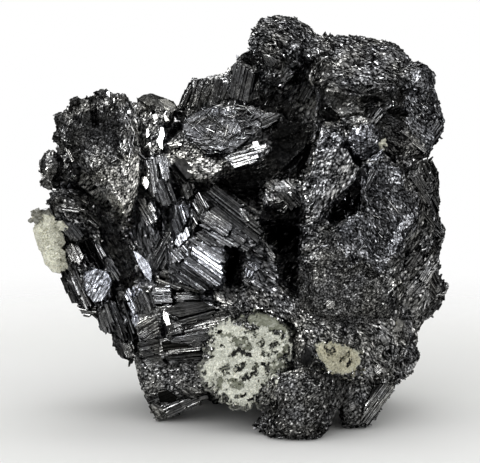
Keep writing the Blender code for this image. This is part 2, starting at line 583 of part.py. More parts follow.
def cleaned(mesh):
    """The mesh's outer skin alone, without the gaps that the union left sealed inside it."""
    bm = bmesh.new()
    bm.from_mesh(mesh)
    inner = sorted(shells(bm), key=len)[:-1]
    bmesh.ops.delete(bm, geom=[face for shell in inner for face in shell], context="FACES")
    bmesh.ops.remove_doubles(bm, verts=bm.verts, dist=WELD * MM)
    bmesh.ops.dissolve_degenerate(bm, edges=bm.edges, dist=WELD * MM)
    bmesh.ops.dissolve_limit(bm, angle_limit=FLAT_WITHIN, verts=bm.verts, edges=bm.edges)
    bm.to_mesh(mesh)
    bm.free()
    return mesh


def finish_material(name, colour, roughness, metallic):
    material = bpy.data.materials.new(name)
    material.use_nodes = True
    shader = material.node_tree.nodes["Principled BSDF"]
    shader.inputs["Base Color"].default_value = (*colour, 1)
    shader.inputs["Roughness"].default_value = roughness
    shader.inputs["Metallic"].default_value = metallic
    material.diffuse_color = (*colour, 1)
    return material


def new_collection(name):
    collection = bpy.data.collections.new(name)
    bpy.context.scene.collection.children.link(collection)
    return collection


def add_part(name, mesh, finish, collection):
    mesh.name = name
    mesh.materials.clear()
    mesh.materials.append(finish_material(name, *finish))
    collection.objects.link(bpy.data.objects.new(name, mesh))


def discard(collection):
    for obj in list(collection.objects):
        bpy.data.objects.remove(obj)
    bpy.data.collections.remove(collection)


def grown_mass():
    """All crystals joined, cut flat where the feet stand, with a socket for each crust."""
    growth = new_collection("growth")
    for name, chunk in (CORE | FRONT).items():
        add_chunk(name, chunk, growth)
    for name, lump in LUMPS.items():
        add_lump(name, lump, growth)
    add_rim(growth)
    add_back(growth)
    first = growth.objects[0]
    growth.objects.unlink(first)
    whole = combined(first.data, "UNION", growth)
    bpy.data.objects.remove(first)
    discard(growth)

    cutters = new_collection("cutters")
    for crust_name, pieces in CRUSTS.items():
        for piece_name, chunk in pieces.items():
            add_chunk(f"socket_{crust_name}_{piece_name}", chunk, cutters, SOCKET_GAP)
    floor = bmesh.new()
    bmesh.ops.create_cube(floor, size=BLANK * MM)
    bmesh.ops.translate(floor, verts=floor.verts, vec=(0, 0, -BLANK * MM / 2))
    add_object("floor_cut", floor, cutters)
    whole = combined(whole, "DIFFERENCE", cutters)
    discard(cutters)
    return cleaned(whole)


def crust_mesh(pieces):
    growth = new_collection("crust_growth")
    for name, chunk in pieces.items():
        add_chunk(name, chunk, growth)
    first = growth.objects[0]
    growth.objects.unlink(first)
    whole = first.data
    if growth.objects:
        whole = combined(whole, "UNION", growth)
    bpy.data.objects.remove(first)
    discard(growth)
    return cleaned(whole)


def build():
    clear_scene()
    mass = grown_mass()
    specimen = new_collection("enargite_specimen")
    add_part("enargite_mass", mass, FINISHES["enargite_mass"], specimen)
    for name, pieces in CRUSTS.items():
        add_part(name, crust_mesh(pieces), FINISHES[name], specimen)


build()
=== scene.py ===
"""The looks of the enargite specimen: its crystal skin, grains, blades and quartz crusts, and the studio.

Places on the display side are millimetres (across, up, toward), as in the model's source, or pixels of
the 480 x 463 photograph, which pixel() turns into (across, up). Whatever is placed by a pixel is cast
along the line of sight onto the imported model, so that it sits on the surface there.
"""

import json
import math
from collections import namedtuple

import bmesh
import bpy
import numpy as np
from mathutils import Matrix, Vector, noise
from mathutils.bvhtree import BVHTree


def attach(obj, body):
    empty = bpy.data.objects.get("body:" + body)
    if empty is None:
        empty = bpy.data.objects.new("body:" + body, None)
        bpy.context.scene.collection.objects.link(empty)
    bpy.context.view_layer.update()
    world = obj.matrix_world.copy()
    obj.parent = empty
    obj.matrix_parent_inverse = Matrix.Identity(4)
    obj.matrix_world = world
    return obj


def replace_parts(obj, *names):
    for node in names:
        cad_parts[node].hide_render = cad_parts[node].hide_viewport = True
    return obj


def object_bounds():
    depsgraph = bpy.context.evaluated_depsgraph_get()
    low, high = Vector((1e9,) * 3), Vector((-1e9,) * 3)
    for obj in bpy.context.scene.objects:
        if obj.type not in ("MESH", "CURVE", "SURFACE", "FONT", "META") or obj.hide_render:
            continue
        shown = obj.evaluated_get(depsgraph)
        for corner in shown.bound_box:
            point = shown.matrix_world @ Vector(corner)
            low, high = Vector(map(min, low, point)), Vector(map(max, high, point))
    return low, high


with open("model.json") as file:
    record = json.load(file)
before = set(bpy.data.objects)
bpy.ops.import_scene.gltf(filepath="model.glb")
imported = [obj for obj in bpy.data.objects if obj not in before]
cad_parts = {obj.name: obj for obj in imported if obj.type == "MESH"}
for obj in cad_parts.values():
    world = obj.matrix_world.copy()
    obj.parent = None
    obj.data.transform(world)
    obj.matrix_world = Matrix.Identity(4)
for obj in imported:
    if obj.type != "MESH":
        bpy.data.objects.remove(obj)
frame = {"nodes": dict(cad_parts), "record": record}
cad_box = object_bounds()

MM = 0.001
SEED = 7
noise.seed_set(SEED)
MASS = "enargite_mass"
CRUSTS = ("quartz_front", "quartz_left", "quartz_stained")

# ---------------------------------------------------------------- the display side's frame
LEAN = math.radians(12.0)  # the display plane leans back from the vertical by this much
ORIGIN = np.array([-0.09, -4.67, 0.0])  # (0, 0, 0) of the display side, in the model's frame, in mm
ACROSS = np.array([1.0, 0.0, 0.0])
UP = np.array([0.0, math.sin(LEAN), math.cos(LEAN)])
TOWARD = np.array([0.0, -math.cos(LEAN), math.sin(LEAN)])
AXES = np.array([ACROSS, UP, TOWARD])
SIGHT = Vector(TOWARD)
UPRIGHT = Vector((0, 0, 1))

PIXELS_PER_MM = 8.0
MIDDLE_COLUMN = 240.0
FOOT_ROW = 414.0
IMAGE_SIZE = (480, 463)


def pixel(column, row):
    """A pixel of the photograph as (across, up)."""
    return (column - MIDDLE_COLUMN) / PIXELS_PER_MM, (FOOT_ROW - row) / PIXELS_PER_MM


def outline(text):
    """Pixels, written "column,row column,row", as a list of (across, up)."""
    return [pixel(*map(int, pair.split(","))) for pair in text.split()]


def table(fields, defaults=()):
    """A kind of row whose first field, corners, is written as pixels."""
    kind = namedtuple("Row", "corners " + fields, defaults=defaults)
    return lambda corners, *rest: kind(outline(corners), *rest)


def to_world(display):
    """(across, up, toward) in mm, one row each, as points in the model's frame, in mm."""
    return ORIGIN + np.atleast_2d(display) @ AXES


def to_display(world):
    return (np.atleast_2d(world) - ORIGIN) @ AXES.T


def turned(angle):
    """The display plane's direction at this many degrees from across, as (across, up)."""
    return np.array([math.cos(math.radians(angle)), math.sin(math.radians(angle))])


def unit(rows):
    return rows / np.maximum(np.linalg.norm(rows, axis=1), 1e-9)[:, None]


def dots(rows, others):
    return np.einsum("ij,ij->i", rows, others)


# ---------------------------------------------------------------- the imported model, to cast on
WELD = 1e-6  # in metres
CAST_FROM = 60.0  # toward, clear of the specimen
SIGHT_MARGIN = 0.25  # how far off the surface a look at it starts
TURNED_AWAY = -0.05


def packed_mesh(node):
    """The node's mesh, welded, as a new bmesh in metres."""
    bm = bmesh.new()
    bm.from_mesh(frame["nodes"][node].data)
    bmesh.ops.remove_doubles(bm, verts=bm.verts, dist=WELD)
    bmesh.ops.triangulate(bm, faces=bm.faces)
    return bm


def arrays(bm):
    """A bmesh's corners in mm and its faces, as arrays."""
    bm.verts.index_update()
    corners = np.array([v.co[:] for v in bm.verts]) / MM
    return corners, np.array([[v.index for v in f.verts] for f in bm.faces])


def cast_tree(*nodes):
    """One tree of the nodes' triangles, in millimetres."""
    corners = []
    faces = []
    for node in nodes:
        bm = packed_mesh(node)
        bm.verts.index_update()
        start = len(corners)
        corners += [v.co / MM for v in bm.verts]
        faces += [[start + v.index for v in f.verts] for f in bm.faces]
        bm.free()
    return BVHTree.FromPolygons(corners, faces)


mass_tree = cast_tree(MASS)
whole_tree = cast_tree(MASS, *CRUSTS)


def front_hit(across, up, tree=mass_tree):
    """How far toward the surface lies at (across, up), as seen from the display side, or None."""
    hit = tree.ray_cast(Vector(to_world((across, up, CAST_FROM))[0]), -SIGHT)
    return None if hit[0] is None else CAST_FROM - hit[3]


def front_hits(spots, tree=mass_tree):
    """(across, up, toward) of the surface at each spot where there is one."""
    hits = [(across, up, front_hit(across, up, tree)) for across, up in spots]
    return np.array([hit for hit in hits if hit[2] is not None])


def in_sight(point, normal):
    """Whether a point of the surface, in mm, is seen from the display side."""
    if normal.dot(SIGHT) < TURNED_AWAY:
        return False
    return whole_tree.ray_cast(point + SIGHT_MARGIN * SIGHT, SIGHT)[0] is None


def edge_on(normals):
    """How nearly each place is seen edge-on from the display side, 0 to 1."""
    return np.clip(1.4 - 2 * np.abs(normals @ TOWARD), 0, 1)


def inside(corners, points):
    """Which of the points, rows of (across, up), lie inside the outline."""
    found = np.zeros(len(points), bool)
    x, y = points[:, 0], points[:, 1]
    for (x0, y0), (x1, y1) in zip(corners, corners[1:] + corners[:1]):
        if y0 != y1:
            found ^= ((y0 > y) != (y1 > y)) & (x < (x1 - x0) * (y - y0) / (y1 - y0) + x0)
    return found


def from_stroke(points, stroke):
    """Distance from each point to the stroke through its corners, in mm."""
    stroke = [np.array(corner) for corner in stroke]
    if len(stroke) == 1:
        return np.linalg.norm(points - stroke[0], axis=1)
    nearest = np.full(len(points), np.inf)
    for start, end in zip(stroke, stroke[1:]):
        run = end - start
        share = np.clip((points - start) @ run / (run @ run), 0, 1)
        nearest = np.minimum(nearest, np.linalg.norm(points - start - share[:, None] * run, axis=1))
    return nearest


# Rows of the photograph, and how far the specimen's right edge is drawn in there, in mm.
DRAWN_IN = ((40, 0.0), (62, 0.5), (84, 0.3), (96, 0.0), (140, 0.0), (165, 0.7), (215, 0.7), (235, 0.0),
            (262, 0.0), (278, 0.5), (296, 0.4), (310, 0.0))
DRAWN_FROM = 22.0  # across, where the drawing in begins
DRAWN_OVER = 3.5


def drawn_in(points):
    """The points, those near the display side's right edge moved inward, none outside the model's box."""
    display = to_display(points)
    amount = np.interp(FOOT_ROW - display[:, 1] * PIXELS_PER_MM, *np.array(DRAWN_IN).T)
    display[:, 0] -= amount * np.clip((display[:, 0] - DRAWN_FROM) / DRAWN_OVER, 0, 1)
    return in_box(to_world(display))


def in_box(points):
    """The points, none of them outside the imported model's box."""
    low, high = (np.array(corner) / MM for corner in cad_box)
    return np.clip(points, low, high)


def new_mesh(name, corners, faces, **values):
    """A mesh of corners in mm, with the values that its material reads: one for each corner of the mesh,
    for each face, or for each corner of each face."""
    mesh = bpy.data.meshes.new(name)
    mesh.from_pydata((corners * MM).tolist(), [], faces)
    mesh.update()
    domains = {len(mesh.loops): "CORNER", len(mesh.polygons): "FACE", len(mesh.vertices): "POINT"}
    for key, value in values.items():
        kind, field = ("FLOAT_VECTOR", "vector") if np.ndim(value) > 1 else ("FLOAT", "value")
        attribute = mesh.attributes.new(key, kind, domains[len(value)])
        attribute.data.foreach_set(field, np.asarray(value, np.float32).ravel())
    return mesh


# ---------------------------------------------------------------- zones of the display side
# along: the direction of a zone's striations, in degrees from across. shine: how bright its faces reflect. It
# is set zone by zone to the brightness wanted there, so besides the ore's own reflectance it carries painted
# shade, near 0 in hollows, gaps and under overhangs, and painted light, raised on highlights and on faces
# turned from the lamps.
# tint: bluish above 0, olive below. rough: height of its relief in mm. stretch: how much longer its facets
# are than wide. grain: how many grains it has. grain_size: their width in mm. The first zone that a place
# is in counts.
Zone = table("along shine tint rough stretch grain grain_size")

ZONES = {
    # Painted shadow: a near-black shine where shade falls at the roof's corner by the hollow.
    "roof_painted_shadow": Zone("306,62 330,60 334,72 336,88 316,92", 60, 0.03, 0, 0.1, 2, 1.0, 0.2),
    "plate": Zone("180,127 200,108 235,104 256,106 262,115 282,116 262,129 248,142 228,154 205,154 190,142",
        45, 0.144, 0.35, 0.05, 1.5, 0.0, 0.19),
    "bright_plate": Zone("226,162 221,157 235,152 252,142 262,145 269,143 272,149 262,159 250,166 232,167",
        12, 0.5, 0.1, 0.03, 3, 0, 0.19),
    "plate_lump": Zone("166,143 195,148 222,156 262,162 210,184 185,182 170,166",
        20, 0.234, -0.15, 0.12, 1.5, 2.0, 0.22),
    "thumb": Zone("133,91 180,91 182,108 176,122 165,112 138,112", 60, 0.112, -0.15, 0.05, 1, 0.3, 0.15),
    "mosaic": Zone("142,112 165,110 168,135 160,158 142,158", 75, 0.27, 0.0, 0.14, 2, 3.0, 0.22),
    "bud_face": Zone("66,130 78,120 92,113 108,112 120,118 127,130 126,146 112,157 92,160 76,153 68,142",
        70, 0.077, 0.1, 0.06, 1, 1.6, 0.14),
    "bud_low": Zone("68,148 112,148 128,152 120,164 98,172 84,180 70,170",
        60, 0.065, 0.0, 0.08, 1.2, 2.2, 0.15),
    # Painted light: these faces turn away from the lamps, and their shine is raised to make them bright.
    "bud_left": Zone("70,168 84,174 102,198 94,202 80,186", 50, 0.7, -0.1, 0.08, 1.2, 2.2, 0.15),
    "bud_end": Zone("96,196 114,190 132,200 130,228 112,218", 50, 0.45, -0.3, 0.05, 1.2, 1.2, 0.15),
    "bud_streaks": Zone("122,104 142,104 140,160 122,160", 75, 0.472, 0, 0.1, 2.5, 3.2, 0.19),
    "bud_tip": Zone("82,170 100,168 118,156 142,154 142,180 136,204 128,226 100,212",
        55, 0.167, -0.2, 0.1, 1.3, 2.2, 0.15),
    "bud_rim": Zone("50,88 138,88 138,112 62,118 66,158 50,150", 80, 0.111, -0.1, 0.07, 1.3, 1.6, 0.16),
    "knob": Zone("36,146 66,146 66,186 44,190", 30, 0.191, 0, 0.03, 1, 0.3, 0.19),
    "shoulder": Zone("40,186 62,184 84,202 98,222 98,244 60,240 40,215",
        -40, 0.0984, 0, 0.14, 1.3, 3.2, 0.21),
    "valley": Zone("62,186 98,203 118,228 136,262 134,300 118,312 108,285 98,248 94,224 80,204",
        -62, 0.184, 0, 0.06, 2, 0.8, 0.19),
    "flank_bright": Zone("84,268 112,266 114,300 88,302", -20, 0.5, 0.7, 0.05, 3, 1.0, 0.12),
    "flank": Zone("56,238 98,238 118,300 142,362 118,362 66,300", -62, 0.115, 0.15, 0.1, 3, 2.0, 0.19),
    "flank_sparks": Zone("124,286 140,286 140,322 126,322", -62, 0.6, 0.7, 0.1, 3, 3.4, 0.15),
    "fan_top": Zone("143,156 172,154 176,176 172,202 150,200", -80, 0.4, 0.1, 0.06, 4, 0.8, 0.15),
    "fan_dark": Zone("166,158 190,172 192,184 176,182", -60, 0.08, 0, 0.05, 3, 0.6, 0.15),
    "fan": Zone("130,196 196,196 200,250 170,285 138,285 128,240", -75, 0.121, 0.35, 0.08, 4, 1.6, 0.17),
    "columns": Zone("176,100 182,70 240,52 242,106 200,110", 80, 0.352, 0, 0.08, 4, 1.2, 0.15),
    "quad_face": Zone("233,58 262,72 254,108 232,100", 78, 0.14, 0.1, 0.04, 5, 0.3, 0.14),
    "crown": Zone("246,12 322,12 324,58 300,66 246,56", -35, 0.152, 0.1, 0.1, 1.5, 2.6, 0.2),
    "roof_bright": Zone("322,34 400,36 420,62 410,84 336,86 332,70 320,56",
        -30, 0.136, 0.1, 0.12, 1.5, 4.0, 0.2),
    # Painted shade: a near-black shine in the dark band right of the lump below the roof.
    "roof_shade": Zone("382,110 404,116 404,158 390,162 381,142", -40, 0.03, 0, 0.1, 2, 2.0, 0.15),
    "roof_dark": Zone("316,84 405,84 404,122 322,124", 30, 0.0941, 0, 0.08, 1.5, 0.8, 0.19),
    "corner": Zone("398,48 440,56 446,122 430,156 404,120", -50, 0.168, 0.35, 0.1, 1.6, 3.0, 0.17),
    # Painted shade: a near-black shine deep in the hollow under the crown.
    "hollow_painted_shade": Zone("257,92 288,92 302,122 282,120 262,112", 60, 0.05, 0, 0.1, 2, 1.0, 0.21),
    "hollow": Zone("256,60 322,60 318,124 282,120 262,112", 60, 0.336, 0.1, 0.1, 2, 1.6, 0.21),
    # Painted shade: the cavity is given a near-black shine, so that it stays black where the white room would
    # light it.
    "cavity": Zone("211,184 262,160 282,118 301,124 314,134 311,158 299,181 280,181 264,190 240,203",
        20, 0.03, 0, 0.06, 1, 0.25, 0.19),
    "cavity_block": Zone("258,180 298,178 302,196 262,204", -40, 0.468, 0.1, 0.1, 2, 3.0, 0.19),
    # Painted shade: a near-black shine in the pit below the cavity's block.
    "cavity_low": Zone("238,200 302,190 304,262 276,266 256,232", 40, 0.0438, 0.1, 0.1, 1.5, 1.0, 0.22),
    "ridge": Zone("316,124 348,140 356,168 336,196 326,222 314,224 312,200 300,190 300,178 312,150",
        50, 0.142, 0.2, 0.12, 1.4, 3.2, 0.19),
    "ridge_lump": Zone("344,130 362,126 382,130 380,160 352,160", 20, 0.293, 0.5, 0.1, 1.3, 3.6, 0.19),
    "cheek_edge": Zone("396,184 420,204 420,216 398,250 388,262 384,240 404,212",
        -60, 0.0786, 0.4, 0.06, 2.5, 2.0, 0.15),
    "cheek": Zone("352,162 400,168 408,210 388,262 376,272 362,257 350,266 340,248 344,200",
        -58, 0.139, 0.4, 0.06, 1.6, 2.8, 0.15),
    "side": Zone("398,156 450,156 452,312 392,318 390,262 420,214", 52, 0.168, 0, 0.12, 2.6, 2.6, 0.2),
    "belly": Zone("298,230 326,224 346,240 352,262 366,258 378,270 392,262 400,316 340,326 296,308",
        40, 0.082, 0.0, 0.06, 1, 3.4, 0.14),
    "sparkly": Zone("294,304 352,308 350,345 300,345", -40, 0.182, 0, 0.14, 1.2, 3.0, 0.21),
    "hip": Zone("350,316 440,306 424,380 376,428 340,380", -50, 0.195, 0, 0.12, 1.5, 2.8, 0.21),
    "laths_top": Zone("198,186 222,186 262,216 264,246 236,246 200,226",
        -36, 0.132, 0.3, 0.05, 5, 0.6, 0.12),
    "laths_bright": Zone("186,232 228,250 228,290 186,274", -36, 0.4, 0.6, 0.04, 6, 0.5, 0.12),
    "laths_left": Zone("160,236 190,236 192,262 222,284 218,296 160,286",
        -36, 0.144, 0.4, 0.05, 5, 0.8, 0.14),
    # Painted shade: a near-black shine down the deep slot between the striated crystals.
    "slot": Zone("232,243 241,240 237,262 230,290 223,290 229,262", -36, 0.03, 0, 0.05, 2, 0.2, 0.19),
    "laths_right": Zone("240,236 278,240 280,292 240,290", -30, 0.18, 0.2, 0.08, 3, 1.8, 0.19),
    "slope": Zone("216,280 302,284 304,322 228,318", -45, 0.13, 0, 0.1, 1.6, 3.6, 0.2),
    "prism_stripes": Zone("150,280 216,284 216,308 156,308", 6, 0.3, 0.3, 0.06, 4, 0.8, 0.14),
    "prisms": Zone("128,304 244,304 222,360 128,362", 10, 0.258, 0.1, 0.05, 5, 0.6, 0.15),
    "grain_face": Zone("128,352 214,352 212,390 140,396", 30, 0.17, 0, 0.1, 1.2, 2.6, 0.17),
    "tip": Zone("136,386 214,386 214,424 150,424", -35, 0.168, 0, 0.05, 4, 1.2, 0.16),
    "front_foot": Zone("250,376 342,372 342,442 250,442", 35, 0.0847, 0, 0.1, 1.2, 3.4, 0.17),
    "quartz_gap": Zone("286,328 302,340 318,344 320,362 332,378 300,384 262,398 266,372 290,362",
        60, 0.159, -0.1, 0.1, 1.5, 3.2, 0.15),
    "rest": Zone("0,0 480,0 480,463 0,463", 30, 0.13, 0, 0.1, 1.5, 2.6, 0.16),
}
ZONE_LIST = list(ZONES.values())

# Out of sight, the skin is a mosaic of crystals, each with its own grain and shine.
MOSAIC_CELL = 6.0
HIDDEN_SHINE = (0.1, 0.34)
HIDDEN_TINT = (-0.2, 0.3)
HIDDEN_ROUGH = (0.06, 0.14)
HIDDEN_STRETCH = (1.2, 4.0)
HIDDEN_GRAIN = (0.2, 2.0)
HIDDEN_GRAIN_SIZE = (0.16, 0.26)
HALVES = Vector((0.5, 0.5, 0.5))
STRAY = ((0.45, 0.8), (1.7, 0.45), (7.0, 0.5))  # waves per mm, and how far they carry a zone's border, in mm


def mosaic(point):
    """Three random numbers of the crystal that a point in mm belongs to, and its grain direction."""
    nearest = noise.voronoi(point / MOSAIC_CELL)[1][0]
    numbers = noise.cell_vector(nearest * 53.0)
    direction = noise.cell_vector(nearest * 31.0 + Vector((5, 9, 2)))
    return numbers, (direction - HALVES).normalized()


def stray(point):
    """How far a zone's border strays from its outline at a point in mm, as (across, up)."""
    waves = [noise.noise_vector(point * per_mm) * reach for per_mm, reach in STRAY]
    return sum(wave.x for wave in waves), sum(wave.z for wave in waves)


def between(pair, share):
    return pair[0] + (pair[1] - pair[0]) * share


def zones_at(points, normals):
    """The number of each place's zone, or -1 out of sight, and which places are in sight."""
    seen = np.array([in_sight(Vector(p), Vector(n)) for p, n in zip(points, normals)])
    strayed = to_display(points)[:, :2] + np.array([stray(Vector(p)) for p in points])
    zone_of = np.full(len(points), -1)
    for index in reversed(range(len(ZONE_LIST))):
        zone_of[inside(ZONE_LIST[index].corners, strayed)] = index
    zone_of[~seen] = -1
    return zone_of, seen


Finish = namedtuple("Finish", "along shine tint rough stretch grain grain_size")  # one column for each


def finishes(points, normals):
    """The finish of each place on the skin, from its zone or, out of sight, from its crystal."""
    zone_of, seen = zones_at(points, normals)
    rows = []
    for index, point in zip(zone_of, points):
        if index >= 0:
            zone = ZONE_LIST[index]
            across, up = turned(zone.along)
            rows.append((Vector(across * ACROSS + up * UP)[:], *zone[2:]))
        else:
            numbers, along = mosaic(Vector(point))
            rows.append((
                along[:], between(HIDDEN_SHINE, numbers[0]), between(HIDDEN_TINT, numbers[1]),
                between(HIDDEN_ROUGH, numbers[2]), between(HIDDEN_STRETCH, numbers[1]),
                between(HIDDEN_GRAIN, numbers[2]), between(HIDDEN_GRAIN_SIZE, numbers[0])))
    return Finish(*(np.array(column) for column in zip(*rows))), seen


def picked(finish, which):
    return Finish(*(column[which] for column in finish))


# ---------------------------------------------------------------- forms cut into and raised on the skin
# corners: what a form runs through. width: how far it spreads to each side, in mm. height: how far it
# stands toward the viewer, below 0 for a groove or pit. Sharp forms have straight flanks.
Form = table("width height sharp", (False,))

FORMS = [
    # the upper left lump
    Form("62,117", 1.3, 0.9), Form("78,101", 1.3, 0.9), Form("90,103", 0.8, 0.6), Form("106,97", 1.3, 0.9),
    Form("126,103", 1.2, 0.8), Form("58,134", 1.1, 0.7), Form("93,99 96,126", 0.5, -1.0, True),
    Form("70,112 80,124", 0.5, -0.5, True), Form("94,136", 4.2, -0.9), Form("119,146", 1.2, -0.8),
    Form("104,164 126,214", 1.6, 0.8, True), Form("80,172 112,206", 0.9, 0.5, True),
    # below it
    Form("56,198 78,204 94,222 98,242", 0.9, 0.8, True), Form("76,226", 1.2, -0.8),
    Form("98,240 106,262 118,284", 0.6, 0.5, True),
    # right of it
    Form("140,101 158,97 174,106", 1.4, 0.6), Form("160,116 168,140", 0.6, -0.9, True),
    # the fan of blades
    Form("160,226 166,218", 1.0, -2.0), Form("143,190 148,202", 0.7, -1.3), Form("188,191", 0.9, 0.5),
    Form("150,160 147,200", 0.6, 0.4, True), Form("170,160 172,196", 0.5, 0.5, True),
    Form("176,206 172,246", 0.7, 0.5, True), Form("194,206 186,246", 0.6, 0.5, True),
    # under the plate
    Form("170,160 190,172 210,180", 0.7, 0.5, True),
    # the crown
    Form("256,36 276,44 300,60", 0.7, -0.6), Form("268,22 292,36 312,44", 0.7, -0.5),
    Form("262,28 288,44 306,50", 0.8, 0.5, True), Form("261,53 270,58", 0.8, 0.6, True),
    # the roof
    Form("345,58", 1.8, 0.9), Form("368,74", 1.6, 0.9), Form("388,56", 1.8, 0.8), Form("334,78", 1.4, 0.8),
    Form("402,76", 1.3, 0.9), Form("356,66 376,60", 0.8, -0.8), Form("345,88 380,92", 1.0, -0.8),
    Form("400,62 398,86", 0.6, -0.4),
    # below the roof
    Form("330,92 366,96 400,88", 0.9, 0.7, True), Form("374,106", 1.8, -1.4),
    Form("330,118 352,114 376,122", 0.9, 0.6, True),
    # the upper right corner
    Form("420,82", 2.4, 0.9), Form("426,108", 1.5, -1.3), Form("410,120 430,134 438,142", 0.9, 0.7, True),
    # the hollow
    Form("314,76 304,98", 0.8, 0.9, True), Form("296,66 286,84", 0.8, 0.6, True),
    # the ridge
    Form("318,126 312,144 303,172 300,188", 0.9, 0.7, True),
    Form("340,142 328,170 322,198", 1.6, 0.9, True), Form("330,144", 0.9, -0.9), Form("358,136", 2.0, 0.9),
    # the hole right of the middle
    Form("346,148 356,162 370,180", 0.8, -3.2, True), Form("326,216 344,208 358,206", 0.95, -3.2),
    Form("352,196 360,204", 0.8, -2.4),
    # the cheek
    Form("398,184 418,203 418,216 398,244 388,264", 1.5, 1.3, True),
    Form("364,186 352,214 344,232", 0.9, 0.6, True), Form("378,190 384,230 374,256", 1.5, -0.5),
    # the right side
    Form("404,172 430,196 442,214", 0.7, -0.9, True), Form("424,226 444,214", 0.6, -0.8, True),
    Form("404,262 426,246 446,236", 0.7, -0.9, True), Form("402,288 424,274 444,268", 0.6, -0.8, True),
    Form("408,234 440,226", 0.9, 0.7, True), Form("404,278 438,258", 0.9, 0.7, True),
    Form("412,302 442,288", 0.9, 0.7, True),
    # the belly
    Form("352,259", 0.9, -0.8), Form("371,273", 1.1, -0.8), Form("320,286", 2.6, 0.5),
    Form("300,250 340,252 380,262", 0.9, 0.5, True), Form("300,316 350,319 394,317", 1.1, 0.6),
    # the hip
    Form("388,354", 0.8, -1.8), Form("390,325", 1.0, 0.8), Form("378,338", 0.7, 0.6),
    Form("377,367", 0.8, 0.6),
    # the front foot
    Form("272,390", 1.5, 0.7), Form("292,384 300,420", 1.3, 0.5, True),
    # the slot, the quartz and more of the lump
    Form("237,244 233,262 229,278", 0.6, -3.4), Form("293,326 298,350 290,372", 1.2, 0.6),
    Form("118,92 112,112", 0.45, -0.7, True), Form("132,98 127,114", 0.45, -0.7, True),
    # the cavity
    Form("283,238", 2.3, -4.0), Form("291,270 290,286", 1.0, -3.0), Form("270,188 290,186", 1.2, 0.7),
    Form("250,246 264,246 270,258", 0.7, 0.7, True),
    # the slope
    Form("255,283 270,296 284,316", 0.8, 0.7, True),
    # the prisms
    Form("160,304 200,296 216,300", 0.4, -0.5, True), Form("182,316 186,330", 0.4, -0.4, True),
    Form("160,334 200,330 218,336", 0.4, -0.4, True),
    # the flank
    Form("70,292 94,300 112,296", 0.5, -0.9, True), Form("92,318 112,318 124,326", 0.5, -0.9, True),
    Form("112,338 128,344", 0.5, -0.8, True), Form("78,244 90,270 100,296", 0.4, -0.7, True),
]
FADE_WIDTH = 0.5  # how fast a form fades where the surface turns away from the viewer


def form_heights(display, facing):
    """How far toward the viewer the forms move each point."""
    heights = np.zeros(len(display))
    for form in FORMS:
        share = np.clip(1 - from_stroke(display[:, :2], form.corners) / form.width, 0, 1)
        if not form.sharp:
            share = share * share * (3 - 2 * share)
        heights += form.height * share
    return heights * np.clip(facing / FADE_WIDTH, 0, 1)


# ---------------------------------------------------------------- the skin
FINE_EDGE = 0.34  # longest edge of the skin where the display side shows it, in mm
COARSE_EDGE = 0.75
REFINE_PASSES = 7
FACETS = ((3.6, 1.1, 0.5), (1.5, 1.3, 0.9), (0.6, 1.5, 1.2))  # width in mm, slope, share of the relief
SUNK = 0.1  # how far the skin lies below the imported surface, to make room for its relief
EDGE_SUNK = 0.12  # how much further the skin is sunk at the outline of the display side
SKIN_PIECES = ("skin_lower", "skin_upper", "skin_back_lower", "skin_back_upper")
SKIN_SEAM = 24.0  # how far up the seam between the lower and the upper pieces lies
ACROSS_STEPS = 3  # the direction across the grain is rounded to this many steps, so that stripes line up


def refine(bm, too_long, passes):
    """Split the edges that are too long until none is left."""
    for _ in range(passes):
        edges = [edge for edge in bm.edges if too_long(edge)]
        if not edges:
            break
        bmesh.ops.subdivide_edges(bm, edges=edges, cuts=1, use_grid_fill=False)
        bmesh.ops.triangulate(bm, faces=[f for f in bm.faces if len(f.verts) > 3])
    bm.normal_update()


def coarse(edge):
    """Whether an edge of the skin is too long for where it lies."""
    length = edge.calc_length() / MM
    if not FINE_EDGE < length <= COARSE_EDGE:
        return length > COARSE_EDGE
    normal = edge.link_faces[0].normal + edge.link_faces[1].normal
    return in_sight((edge.verts[0].co + edge.verts[1].co) / (2 * MM), normal.normalized())


def facet_height(point, cell, slope, along=UPRIGHT, stretch=1.0):
    """Relief of flat tilted facets, longer along the grain than across it, with small steps between."""
    squeezed = point - along * (along.dot(point) * (1 - 1 / stretch))
    nearest = noise.voronoi(squeezed / cell)[1][0]
    tilt = noise.cell_vector(nearest * 71.0) - HALVES
    offset = squeezed / cell - nearest
    return slope * tilt.dot(offset) + tilt.x


def crystal_skins():
    """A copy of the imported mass, refined, with each zone's relief, as four meshes: two in sight, two not."""
    bm = packed_mesh(MASS)
    refine(bm, coarse, REFINE_PASSES)
    points, faces = arrays(bm)
    normals = np.array([v.normal[:] for v in bm.verts])
    face_normals = np.array([f.normal[:] for f in bm.faces])
    bm.free()
    centres = points[faces].mean(axis=1)
    finish, seen = finishes(points, normals)
    forms = form_heights(to_display(points), np.where(seen, normals @ TOWARD, 0.0))
    heights = [sum(facet_height(Vector(point), cell, slope, Vector(along), stretch) * cell * share
                   for cell, slope, share in FACETS)
               for point, along, stretch in zip(points, finish.along, finish.stretch.tolist())]
    relief = finish.rough * heights - SUNK - EDGE_SUNK * edge_on(normals)
    corners = drawn_in(points + normals * relief[:, None] + np.outer(forms, TOWARD))
    finish, seen = finishes(centres, face_normals)
    part = (to_display(centres)[:, 1] > SKIN_SEAM) + 2 * ~seen
    return [skin_mesh(name, corners, faces[part == number], picked(finish, part == number))
            for number, name in enumerate(SKIN_PIECES)]


